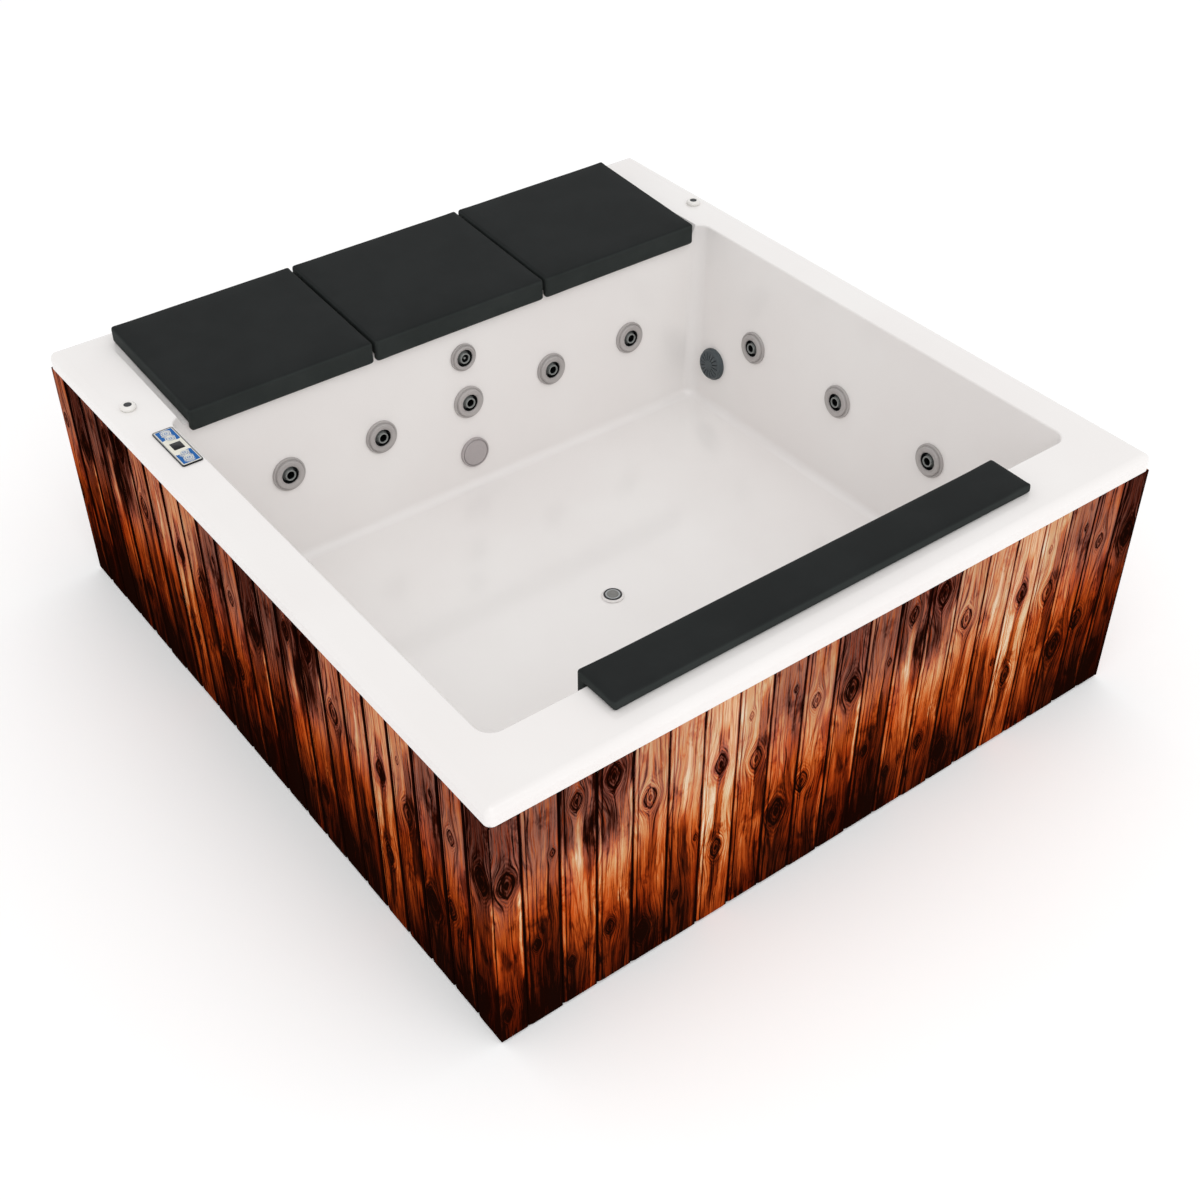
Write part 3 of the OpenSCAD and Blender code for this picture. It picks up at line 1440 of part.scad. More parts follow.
module heater() {
    color([0.75, 0.76, 0.78]) difference() {
        union() {
            along_x(heater_x - heater_l / 2, pump_y, heater_z) cylinder(r = heater_r, h = heater_l);
            for (x = [heater_x - heater_l / 2, heater_x + heater_l / 2 - heater_end_t])
                along_x(x, pump_y, heater_z) cylinder(r = heater_r + heater_end_w, h = heater_end_t);
            for (x = [-1, 1]) translate([heater_x + x * heater_l / 5, pump_y, heater_z])
                cylinder(r = terminal_r, h = heater_r + terminal_h);
        }
        along_x(heater_x - heater_l / 2 + pipe_wall, pump_y, heater_z)
            cylinder(r = heater_r - pipe_wall, h = heater_l - 2 * pipe_wall);
        along_x(heater_x - heater_l / 2 - cut, pump_y, heater_z)
            cylinder(r = riser_r - pipe_wall, h = heater_l + 2 * cut);
    }
}

module heater_pipes() {
    riser_start_z = pump_z + wet_end_r;
    bend_z = heater_z - suction_elbow_r;
    end_x = heater_x - heater_l / 2;
    color(pipe_white) {
        translate([riser_x, pump_y, riser_start_z])
            ring(riser_r, riser_r - pipe_wall, bend_z - riser_start_z);
        translate([riser_x, pump_y, bend_z]) rotate([0, 0, 180]) bend(riser_r, pipe_wall, suction_elbow_r);
        along_x(return_x + suction_elbow_r, pump_y, heater_z)
            ring(riser_r, riser_r - pipe_wall, end_x - return_x - suction_elbow_r);
        translate([return_x + suction_elbow_r, pump_y - suction_elbow_r, heater_z]) rotate([0, 0, 90])
            flat_bend(riser_r, pipe_wall, suction_elbow_r);
        along_y(return_x, manifold_y + manifold_r, heater_z)
            ring(riser_r, riser_r - pipe_wall, pump_y - suction_elbow_r - manifold_y - manifold_r);
    }
}

module control_box() {
    front_y = box_back_y - box_d;
    color([0.35, 0.37, 0.40]) {
        difference() {
            translate([gland_x - box_w / 2, front_y, pan_top_z]) cube([box_w, box_d, box_h]);
            translate([gland_x - box_w / 2 + box_wall, front_y - cut, pan_top_z + box_wall])
                cube([box_w - 2 * box_wall, box_d - box_wall + cut, box_h - 2 * box_wall]);
            along_y(gland_x, box_back_y - box_wall - cut, gland_z)
                cylinder(r = gland_barrel_r + slip_gap, h = box_wall + 2 * cut);
        }
        translate([gland_x - box_w / 2, front_y - box_lid_t, pan_top_z]) cube([box_w, box_lid_t, box_h]);
    }
}

module cable_gland() {
    inner_y = box_back_y - box_wall;
    outer_y = tub_d / 2 - waste_end_inset;
    color(dark_plastic) along_y(gland_x, 0, gland_z) difference() {
        union() {
            translate([0, 0, inner_y - gland_head_t])
                cylinder(r = gland_barrel_r, h = outer_y - inner_y + gland_head_t);
            translate([0, 0, inner_y - gland_head_t])
                cylinder(r = gland_head_r, h = gland_head_t, $fn = 6);
        }
        translate([0, 0, inner_y - gland_head_t - cut])
            cylinder(r = gland_bore_r, h = outer_y - inner_y + gland_head_t + 2 * cut);
    }
}

// Pads

// Unit vector and inward normal of an edge of an anticlockwise outline
function unit(v) = v / norm(v);
function inward(v) = [-v[1], v[0]];

// Corner points moved inward by d
function inset_corner(a, b, c, d) =
    let (n1 = inward(unit(b - a)), n2 = inward(unit(c - b)))
    b + d * (n1 + n2) / (1 + n1 * n2);

// Arc that rounds corner b between a and c, in equal steps
function corner_arc(a, b, c, r, steps) =
    let (u = unit(a - b), v = unit(c - b),
         half = acos(u * v) / 2,
         centre = b + unit(u + v) * r / sin(half),
         from = b + u * r / tan(half) - centre,
         to = b + v * r / tan(half) - centre,
         a0 = atan2(from[1], from[0]),
         turn = (atan2(to[1], to[0]) - a0 + 540) % 360 - 180)
    [for (i = [0:steps]) centre + r * [cos(a0 + turn * i / steps), sin(a0 + turn * i / steps)]];

// Ring of one pad section at x: its corners inset by d, with a crown and a drawn-in front
function pad_section(x, corners, d, crown) =
    let (n = len(corners),
         moved = [for (i = [0:n - 1])
            inset_corner(corners[(i + n - 1) % n], corners[i], corners[(i + 1) % n], d)],
         arcs = [for (i = [0:n - 1])
            corner_arc(moved[(i + n - 1) % n], moved[i], moved[(i + 1) % n],
                pad_radii[i] > 0 ? max(pad_radii[i] - d, pad_least_r) : d - pad_radii[i],
                pad_arc_steps)],
         top_from = arcs[0][pad_arc_steps], top_to = arcs[1][0],
         lip_from = arcs[1][pad_arc_steps], lip_to = arcs[2][0])
    [for (i = [0:n - 1]) each concat(
        [for (p = arcs[i]) [x, p[0], p[1]]],
        i == 0 ? [for (s = [1:pad_top_steps - 1])
            let (t = s / pad_top_steps, p = top_from + (top_to - top_from) * t)
            [x, p[0], p[1] + crown * sin(180 * t)]] : [],
        i == 1 ? [for (s = [1:pad_lip_steps - 1])
            let (t = s / pad_lip_steps, p = lip_from + (lip_to - lip_from) * t,
                 in = inward(unit(lip_to - lip_from)) * pad_draw * sin(180 * t) * crown / pad_crown)
            [x, p[0] + in[0], p[1] + in[1]]] : [])];

// Cushion round X zero, its corners anticlockwise from the back top; turn is -1 where it faces back
module pad(width, corners, turn) {
    end = width / 2 - pad_edge_r;
    ends = [for (i = [0:pad_end_steps])
        let (a = 90 * i / pad_end_steps)
        [width / 2 - pad_edge_r * (1 - cos(a)), pad_edge_r * (1 - sin(a))]];
    middle = [for (i = [1:pad_mid_steps - 1]) -end + 2 * end * i / pad_mid_steps];
    function crown_at(x) = pad_crown * max(0, 1 - pow(x / end, 4));
    rings = concat(
        [for (e = ends) pad_section(-e[0], corners, e[1], 0)],
        [for (x = middle) pad_section(x, corners, 0, crown_at(x))],
        [for (i = [pad_end_steps:-1:0]) pad_section(ends[i][0], corners, ends[i][1], 0)]);
    loft([for (ring = rings) [for (p = ring) [turn * p[0], turn * p[1], p[2]]]]);
}

// Places of the two pegs under a pad along X
function peg_xs(centre, width) = [centre - width / 2 + peg_inset, centre + width / 2 - peg_inset];

module at_pegs() {
    for (i = [0:2]) for (x = peg_xs(back_pad_xs[i], back_pad_ws[i]))
        translate([x, back_peg_y, deck_z(back_peg_y)]) children();
    for (x = peg_xs(0, headrest_w)) translate([x, headrest_peg_y, rim_z]) children();
}

module peg_sockets() {
    at_pegs() translate([0, 0, -peg_flange_r])
        cylinder(r = peg_r + fit_gap, h = peg_flange_r + peg_socket_h);
}

module back_pad(index) {
    color(pad_grey) difference() {
        translate([back_pad_xs[index], 0, 0]) pad(back_pad_ws[index], back_pad_corners, 1);
        peg_sockets();
    }
}

module front_headrest() {
    color(pad_grey) difference() {
        pad(headrest_w, headrest_corners, -1);
        peg_sockets();
    }
}

module pad_pegs() {
    color(dark_plastic) at_pegs() {
        translate([0, 0, -2 * shell_t]) cylinder(r = peg_r, h = 2 * shell_t + peg_h);
        translate([0, 0, -2 * shell_t - nut_t / 2]) cylinder(r = peg_flange_r, h = nut_t / 2);
    }
}

tub_shell();
base_pan();
levelling_feet();
corner_posts();
top_rails();
cladding_rails();
basin_bearers();
frame_bolts();
skirt_front();
skirt_left();
skirt_right();
skirt_back();
jet_bodies();
wall_gaskets();
wall_nuts();
jet_faces();
for (i = [1:JET_COUNT]) jet_nozzle(i);
lamp_body();
lamp_lens();
suction_bodies();
suction_covers();
drain_flange();
drain_plug();
drain_waste();
panel_frame();
panel_face();
panel_display();
for (i = [1:KEY_COUNT]) panel_button(i);
air_knob(-1);  // air_knob_left
air_knob(1);  // air_knob_right
air_valve_bodies();
pump_motor();
pump_wet_end();
pump_rotor();
suction_pipe();
water_manifold();
air_manifold();
heater();
heater_pipes();
control_box();
cable_gland();
back_pad(0);  // back_pad_left
back_pad(1);  // back_pad_middle
back_pad(2);  // back_pad_right
front_headrest();
pad_pegs();
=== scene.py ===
"""Dresses the hot tub: acrylic shell, wooden skirt, cushions, fittings, light and camera."""
import math
import random
from collections import namedtuple

import bmesh
import bpy
from mathutils import Matrix, Vector


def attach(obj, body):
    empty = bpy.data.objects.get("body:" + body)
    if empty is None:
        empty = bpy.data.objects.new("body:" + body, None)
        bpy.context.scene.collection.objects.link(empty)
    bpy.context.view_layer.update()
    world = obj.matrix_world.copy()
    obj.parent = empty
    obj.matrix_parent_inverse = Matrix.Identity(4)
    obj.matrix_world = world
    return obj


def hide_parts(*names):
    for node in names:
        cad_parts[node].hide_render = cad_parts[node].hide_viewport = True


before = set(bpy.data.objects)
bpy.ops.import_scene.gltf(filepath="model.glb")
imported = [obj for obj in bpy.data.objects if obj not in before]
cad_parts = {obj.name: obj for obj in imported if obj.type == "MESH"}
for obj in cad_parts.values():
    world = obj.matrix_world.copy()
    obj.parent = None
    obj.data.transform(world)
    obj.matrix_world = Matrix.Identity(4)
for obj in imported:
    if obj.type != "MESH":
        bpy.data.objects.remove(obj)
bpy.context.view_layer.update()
MM = 0.001

# Sizes in millimetres, as in the construction
TUB_W, TUB_D, RIM_Z = 1900, 2010, 715
SHELL_T, LIP_Z, FLOOR_Z = 8, 669, 186
BASIN_X, FRONT_Y, BACK_Y = 842, -838, 535.5
SIDE_LEAN, FRONT_LEAN, BACK_LEAN = 60, 60, 55.5
WALL_RISE = RIM_Z - FLOOR_Z
BASIN_CORNER, FILLET, RIM_CORNER, RIM_EDGE, INNER_EDGE = 40, 24, 17, 20, 5
DECK_HALF, DECK_BACK, DECK_TILT, DECK_SIDE_LEAN = 808, 950, math.radians(3.8), math.radians(23)
SIDE_TILT = math.atan(SIDE_LEAN / WALL_RISE)
BACK_TILT = math.atan(BACK_LEAN / WALL_RISE)
JET_Z, BACK_JETS_X, SIDE_JETS_Y = 446, (-560, -280, 0, 280, 560), (244, -107, -458)
UPPER_JET_Z, JET_R, UPPER_JET_R = 582, (46.5, 40), (39, 34)
LAMP_Z, SUCTION_Y, SUCTION_Z, DRAIN_Y = 288, 400, 320, -149
PANEL_X, PANEL_Y, KEYS_Y = -875.48, 412, (-61, -36, 36, 61)
KNOB_X, KNOB_Y = 897, 636


def side_x(z):
    return BASIN_X - SIDE_LEAN * (RIM_Z - z) / WALL_RISE


def front_y(z):
    return FRONT_Y + FRONT_LEAN * (RIM_Z - z) / WALL_RISE


def back_y(z):
    return BACK_Y - BACK_LEAN * (RIM_Z - z) / WALL_RISE


def deck_z(y):
    return RIM_Z - (DECK_BACK - y) * math.tan(DECK_TILT)


def back_wall(x, z):
    """Frame on the back wall whose Z axis is the wall's normal into the basin."""
    return Matrix.Translation((x, back_y(z), z)) @ Matrix.Rotation(math.pi / 2 - BACK_TILT, 4, "X")


def side_wall(side, y, z):
    """The same on the right wall, side 1, or the left wall, side -1."""
    turn = Matrix.Rotation(-side * math.pi / 2, 4, "Z")
    lean = Matrix.Rotation(math.pi / 2 - SIDE_TILT, 4, "X")
    return Matrix.Translation((side * side_x(z), y, z)) @ turn @ lean


# The jets in the construction's order: frame, flange radius, inner ring radius
JETS = [(back_wall(x, JET_Z), *JET_R) for x in BACK_JETS_X]
JETS += [(back_wall(0, UPPER_JET_Z), *UPPER_JET_R)]
JETS += [(side_wall(side, y, JET_Z), *JET_R) for side in (1, -1) for y in SIDE_JETS_Y]
LAMP = back_wall(0, LAMP_Z)
SUCTIONS = [side_wall(side, SUCTION_Y, SUCTION_Z) for side in (1, -1)]


# Shapes

WELD = 1e-6
SHARP_ANGLE, SHELL_SHARP_ANGLE = 32, 24


class Shape:
    """Vertices in millimetres and faces, joined from lofts and turned profiles."""

    def __init__(self):
        self.verts, self.faces, self.slots = [], [], []

    def loft(self, rings, place=Matrix(), slot=0, loop=False):
        """Joins rings of equally many points, capped at both ends or closed in a loop."""
        n, base = len(rings[0]), len(self.verts)
        faces = []
        for k in range(len(rings) - (0 if loop else 1)):
            a, b = k * n, (k + 1) % len(rings) * n
            faces += [[a + i, a + (i + 1) % n, b + (i + 1) % n, b + i] for i in range(n)]
        if not loop:
            last = (len(rings) - 1) * n
            faces += [list(range(n))[::-1], [last + i for i in range(n)]]
        self.verts += [place @ Vector(v) for ring in rings for v in ring]
        self.faces += [[base + i for i in face] for face in faces]
        self.slots += [slot] * len(faces)
        return self

    def spin(self, profile, place=Matrix(), steps=48, slot=0, loop=False):
        """Turns a profile of (radius, height), running up the outside, round the Z axis."""
        turn = [2 * math.pi * i / steps for i in range(steps)]
        rings = [[(r * math.cos(a), r * math.sin(a), z) for a in turn] for r, z in profile]
        return self.loft(rings, place, slot, loop)

    def make(self, name, materials, slot_name=None, body="tub", replaces=()):
        mesh = bpy.data.meshes.new(name)
        mesh.from_pydata([v * MM for v in self.verts], [], self.faces)
        mesh.polygons.foreach_set("material_index", self.slots)
        obj = place_object(name, mesh)
        for material in materials:
            mesh.materials.append(material)
        finish_mesh(mesh)
        if body:
            dress(obj, body, replaces)
        return obj


def place_object(name, data):
    obj = bpy.data.objects.new(name, data)
    bpy.context.scene.collection.objects.link(obj)
    return obj


def finish_mesh(mesh, angle=SHARP_ANGLE):
    """Welds, turns the faces outwards and shades smooth but for edges over the angle."""
    work = bmesh.new()
    work.from_mesh(mesh)
    bmesh.ops.remove_doubles(work, verts=work.verts, dist=WELD)
    bmesh.ops.recalc_face_normals(work, faces=work.faces)
    for face in work.faces:
        face.smooth = True
    for edge in work.edges:
        edge.smooth = len(edge.link_faces) == 2 and edge.calc_face_angle(0) < math.radians(angle)
    work.to_mesh(mesh)
    work.free()


def dress(obj, body, replaces=()):
    """Attaches the piece to the body that it moves with and hides the nodes that it stands for."""
    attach(obj, body)
    if replaces:
        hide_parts(*replaces)


def arc(cx, cz, r, a0, a1, steps=5):
    """Points of an arc from angle a0 to a1 in degrees."""
    turn = [math.radians(a0 + (a1 - a0) * i / steps) for i in range(steps + 1)]
    return [(cx + r * math.cos(a), cz + r * math.sin(a)) for a in turn]


def round_rect(x, y0, y1, r, z, steps=10):
    """Ring round a rectangle from -x to x and y0 to y1 with rounded corners, at one height."""
    ring = []
    centres = (x - r, y1 - r), (r - x, y1 - r), (r - x, y0 + r), (x - r, y0 + r)
    for corner, (cx, cy) in enumerate(centres):
        for k in range(steps + 1):
            a = math.pi / 2 * (corner + k / steps)
            ring.append((cx + r * math.cos(a), cy + r * math.sin(a), z))
    return ring


def around(place, count, first=0.0):
    """Frames turned evenly about one axis."""
    return [place @ Matrix.Rotation(first + 2 * math.pi * k / count, 4, "Z") for k in range(count)]


def wedge(x0, y0, x1, y1, z0, z1=None):
    """A four-sided ring that goes from half width y0 at x0 to y1 at x1."""
    z1 = z0 if z1 is None else z1
    return [(x0, -y0, z0), (x1, -y1, z1), (x1, y1, z1), (x0, y0, z0)]


def tube(r0, r1, z0, z1):
    return [(r0, z0), (r1, z0), (r1, z1), (r0, z1)]


def cut_with(obj, cutter, operation="DIFFERENCE"):
    """Applies one exact cut, or union, to the object and removes the cutter."""
    modifier = obj.modifiers.new("cut", "BOOLEAN")
    modifier.operation = operation
    modifier.solver = "EXACT"
    modifier.object = cutter
    with bpy.context.temp_override(object=obj, active_object=obj, selected_objects=[obj]):
        bpy.ops.object.modifier_apply(modifier="cut")
    bpy.data.objects.remove(cutter, do_unlink=True)


# Materials

class Value:
    """A node output that adds and multiplies like a number."""

    def __init__(self, net, socket):
        self.net, self.socket = net, socket

    def __add__(self, other):
        return self.net.math("ADD", self, other)

    def __sub__(self, other):
        return self.net.math("SUBTRACT", self, other)

    def __rsub__(self, other):
        return self.net.math("SUBTRACT", other, self)

    def __mul__(self, other):
        return self.net.math("MULTIPLY", self, other)

    def __truediv__(self, other):
        return self.net.math("DIVIDE", self, other)


class Net:
    """Nodes of a material, or of the world, written as plain arithmetic."""

    def __init__(self, owner):
        self.owner = bpy.data.materials.new(owner) if isinstance(owner, str) else owner
        self.owner.use_nodes = True
        self.tree = self.owner.node_tree
        self.shader = self.tree.nodes.get("Principled BSDF")

    def put(self, socket, value):
        if isinstance(value, Value):
            self.tree.links.new(value.socket, socket)
        else:
            socket.default_value = value

    def node(self, kind, inputs=(), output=0, **settings):
        node = self.tree.nodes.new("ShaderNode" + kind)
        for key, value in settings.items():
            setattr(node, key, value)
        for index, value in dict(inputs).items():
            self.put(node.inputs[index], value)
        return Value(self, node.outputs[output])

    def math(self, operation, a, b=0.0):
        return self.node("Math", {0: a, 1: b}, operation=operation)

    def join(self, x, y, z=0.0):
        return self.node("CombineXYZ", {0: x, 1: y, 2: z})

    def split(self, vector):
        node = self.tree.nodes.new("ShaderNodeSeparateXYZ")
        self.put(node.inputs[0], vector)
        return [Value(self, socket) for socket in node.outputs]

    def attribute(self, name):
        return self.node("Attribute", output=1, attribute_name=name)

    def place(self):
        return self.node("TexCoord", output=3)

    def noise(self, vector, scale=1.0, detail=2.0, rough=0.5):
        inputs = {"Vector": vector, "Scale": scale, "Detail": detail, "Roughness": rough}
        return self.node("TexNoise", inputs)

    def smooth(self, value, low, high, to=1.0):
        return self.node("MapRange", {0: value, 1: low, 2: high, 3: 0.0, 4: to},
                         interpolation_type="SMOOTHSTEP")

    def mix(self, factor, a, b, blend="MIX"):
        return self.node("Mix", {0: factor, 6: a, 7: b}, output=2, data_type="RGBA",
                         blend_type=blend)

    def ramp(self, factor, stops):
        node = self.tree.nodes.new("ShaderNodeValToRGB")
        self.put(node.inputs[0], factor)
        points = node.color_ramp.elements
        while len(points) < len(stops):
            points.new(0.5)
        for point, (place, tone) in zip(points, stops):
            point.position = place
            point.color = colour(*tone)
        return Value(self, node.outputs[0])

    def relief(self, height, strength, distance):
        inputs = {"Strength": strength, "Distance": distance, "Height": height}
        self.put(self.shader.inputs["Normal"], self.node("Bump", inputs))

    def finish(self, **inputs):
        """Sets the shader's sockets, named with underscores for spaces."""
        for name, value in inputs.items():
            self.put(self.shader.inputs[name.replace("_", " ")], value)
        return self.owner


def colour(r, g, b):
    """Linear colour from screen values of 0 to 255."""
    def line(c):
        c /= 255
        return c / 12.92 if c <= 0.04045 else ((c + 0.055) / 1.055) ** 2.4
    return line(r), line(g), line(b), 1.0


def plain(name, tone, rough, grain, relief, depth=0.0002, spread=0.06, coat=0.0, specular=0.5):
    """Moulded, painted or cast surface with fine grain, faint colour drift and uneven gloss."""
    net = Net(name)
    place = net.place()
    drift = net.noise(place, 9.0, 3.0)
    fine = net.noise(place, grain, 3.0, 0.6)
    dark = tuple(c * (1 - spread) for c in tone)
    light = tuple(min(c * (1 + spread), 255) for c in tone)
    share = net.smooth(drift + (fine - 0.5) * 0.35, 0.25, 0.75)
    base = net.mix(share, colour(*dark), colour(*light))
    net.relief(fine, relief, depth)
    gloss = (fine - 0.5) * 0.12 + (drift - 0.5) * 0.1 + rough
    return net.finish(Base_Color=base, Roughness=gloss, Coat_Weight=coat, Coat_Roughness=0.12,
                      Specular_IOR_Level=specular)


def drawn_metal(name, tone, rough):
    """Metal with fine lines from turning or drawing."""
    net = Net(name)
    x, y, z = net.split(net.place())
    lines = net.noise(net.join(x * 40, y * 40, z * 900), 1.0, 3.0)
    stains = net.noise(net.place(), 18.0, 4.0)
    base = net.mix(net.smooth(stains, 0.3, 0.75), colour(*tone), colour(*[c * 0.8 for c in tone]))
    net.relief(lines, 0.12, 0.0002)
    return net.finish(Base_Color=base, Metallic=1.0, Roughness=(lines - 0.5) * 0.25 + rough)


def acrylic():
    """White sanitary acrylic: glossy, with a faint long ripple and barely warm drift."""
    net = Net("white_acrylic")
    place = net.place()
    drift = net.noise(place, 2.2, 3.0)
    ripple = net.noise(place, 7.0, 2.0)
    speck = net.noise(place, 420.0, 2.0, 0.7)
    base = net.mix(net.smooth(drift, 0.3, 0.7), colour(243, 240, 238), colour(240, 236, 234))
    net.relief(ripple * 0.8 + speck * 0.01, 0.12, 0.002)
    return net.finish(Base_Color=base, Roughness=(drift - 0.5) * 0.06 + 0.17, Coat_Weight=0.35,
                      Coat_Roughness=0.06, Specular_IOR_Level=0.4)


def cushion_foam():
    """Charcoal moulded foam skin: fine pebble grain, and painted light that makes its upright faces
    lighter and bluer than its top.
    """
    net = Net("charcoal_foam_skin")
    place = net.place()
    pebble = net.node("TexVoronoi", {"Vector": place, "Scale": 620.0},
                      feature="SMOOTH_F1")
    fine = net.noise(place, 1500.0, 3.0, 0.6)
    worn = net.noise(place, 6.0, 4.0, 0.6)
    # painted light: the upright faces get a lighter, bluer copy of the skin's colour than the top
    up = net.split(net.node("NewGeometry", output=1))[2]
    top = net.mix(net.smooth(worn, 0.3, 0.72), colour(33, 35, 35), colour(38, 40, 40))
    side = net.mix(net.smooth(worn, 0.3, 0.72), colour(45, 49, 48), colour(51, 55, 54))
    base = net.mix(net.smooth(up, 0.35, 0.9), side, top)
    base = net.mix(net.smooth(fine, 0.45, 0.8, 0.22), base, colour(20, 22, 23))
    net.relief(pebble * 0.7 + fine * 0.4, 0.3, 0.0006)
    return net.finish(Base_Color=base, Roughness=(worn - 0.5) * 0.12 + 0.62,
                      Specular_IOR_Level=0.06)


def planed_wood(name, pale, dark):
    """Softwood of the hidden frame: wavy growth rings and fine fibres."""
    net = Net(name)
    x, y, z = net.split(net.place())
    bend = net.noise(net.join(x * 3, y * 3, z * 1.4), 1.0, 3.0)
    rings = net.noise(net.join(x * 60 + bend * 4, y * 60, z * 3), 1.0, 3.0)
    fibre = net.noise(net.join(x * 700, y * 700, z * 12), 1.0, 2.0)
    base = net.mix(net.smooth(rings, 0.35, 0.68), colour(*pale), colour(*dark))
    net.relief(rings * 0.5 + fibre * 0.5, 0.25, 0.0006)
    return net.finish(Base_Color=base, Roughness=(fibre - 0.5) * 0.2 + 0.62, Specular_IOR_Level=0.3)


# Colours of the boards, from burnt joints to pale sapwood
WOOD_RAMP = (
    (0.00, (24, 8, 4)), (0.16, (60, 19, 7)), (0.32, (104, 35, 10)), (0.47, (158, 62, 18)),
    (0.62, (198, 98, 40)), (0.76, (210, 152, 100)), (0.88, (216, 184, 144)),
    (1.00, (232, 214, 188)))


def knot(net, name, across, down, quick, flow):
    """A pointed knot: its darkness with a dark rim, its rings, and the grain pushed aside."""
    ku, kv, kr = net.split(net.attribute(name))
    dx = across - ku + quick * 0.008
    dy = down - kv + quick * 0.006
    span = dx * dx + dy * dy * 0.34 + 0.000004
    wide, tall = net.math("ABSOLUTE", dx), net.math("ABSOLUTE", dy)
    near = net.math("SQRT", span) * 0.55 + (wide + tall * 0.42) * 0.45
    share = near / (kr + 0.0004)
    heart = 1.0 - net.smooth(share, 0.15, 0.55)
    body = 1.0 - net.smooth(share, 0.85, 1.15)
    rim = net.smooth(share, 0.72, 0.98) * (1.0 - net.smooth(share, 1.02, 1.4))
    halo = 1.0 - net.smooth(share, 0.9, 2.9)
    rings = net.math("SINE", share * 17.0 + quick * 9.0) * halo
    pull = net.math("MINIMUM", kr * kr * 1.9 / span, 1.7)
    return body * 0.1 + rim * 0.34 + heart * 0.26 + halo * 0.1, rings * 0.11, flow - dx * pull


# Noise that follows the grain: scale across and down, offset, detail, roughness
GRAIN = {
    "figure": (15, 1.5, 11.0, 2.0, 0.5), "bands": (75, 2.0, 17.0, 3.0, 0.6),
    "veins": (170, 3.4, 23.0, 3.0, 0.65), "fine": (380, 9, 31.0, 3.0, 0.65),
    "fibre": (1100, 22, 37.0, 2.0, 0.6), "flame": (34, 7.5, 41.0, 4.0, 0.62),
    "blotch": (17, 9, 53.0, 4.0, 0.7)}
# Marks along a board: width in metres and raggedness
MARKS = (("streak", 0.0075, 0.012), ("band", 0.016, 0.036))


def fade(net, value, low, high):
    return 1.0 - net.smooth(value, low, high)


def height_tones(net, down, wander):
    """The board's tone at its top, middle and foot, lowered by its wall's painted shade, joined at
    ragged heights.
    """
    top, middle, low = net.split(net.attribute("tone"))
    upper = net.smooth(down + wander, 0.08, 0.22)
    lower = net.smooth(down + wander, 0.23, 0.44)
    return top + (middle - top) * upper + (low - middle) * lower


def long_marks(net, across, down, slow, flame, gains):
    """A narrow streak and a wide band of heart or sap along the board."""
    total = 0.0
    for (name, width, ragged), gain in zip(MARKS, gains):
        centre, start, end = net.split(net.attribute(name))
        off = (across - centre + slow * 0.03 + flame * ragged) / width
        window = net.smooth(down - start + flame * 0.05, -0.03, 0.03)
        window = window * fade(net, down - end + flame * 0.06, -0.04, 0.02)
        share = net.math("EXPONENT", off * off * -1.0)
        if name == "band":
            # heart and sap meet at a crisp edge
            share = net.smooth(share, 0.38, 0.56)
        total = gain * window * share + total
    return total


def joint_tones(net, across):
    """Dark joints, the line at the foot of the chamfer, the lighter chamfer itself, and painted
    shade deeper in the gaps between boards.
    """
    right, deep, bevel = net.split(net.attribute("edges"))
    line = net.smooth(across, 0.0078, 0.0092) * fade(net, across, 0.0098, 0.0135)
    tone = bevel * 0.1 - line * 0.42 - fade(net, across, 0.0005, 0.0042) * 0.6
    # painted shade: faces lying further back in the gap between boards are darkened
    return tone - fade(net, right, 0.001, 0.0065) * 0.75 - net.smooth(deep, 0.1, 0.6, 0.9)


def weathered(net, base, tone, purple, across, down, seed, wander, fine):
    """Cooler and paler near the top, redder in patches."""
    cool = net.mix(1.0, base, colour(200, 194, 200), "MULTIPLY")
    base = net.mix(purple * fade(net, down + wander, 0.08, 0.26), base, cool)
    patch = net.noise(net.join(across * 9, down * 5, seed + 67.0), 1.0, 2.0)
    red = net.mix(1.0, base, colour(255, 198, 158), "MULTIPLY")
    base = net.mix(net.smooth(patch, 0.42, 0.68, 0.6), base, red)
    bloom = fade(net, down + wander, 0.13, 0.33) * net.smooth(fine, 0.3, 0.62, 0.24)
    return net.mix(bloom * net.smooth(tone, 0.1, 0.55), base, colour(182, 172, 160))


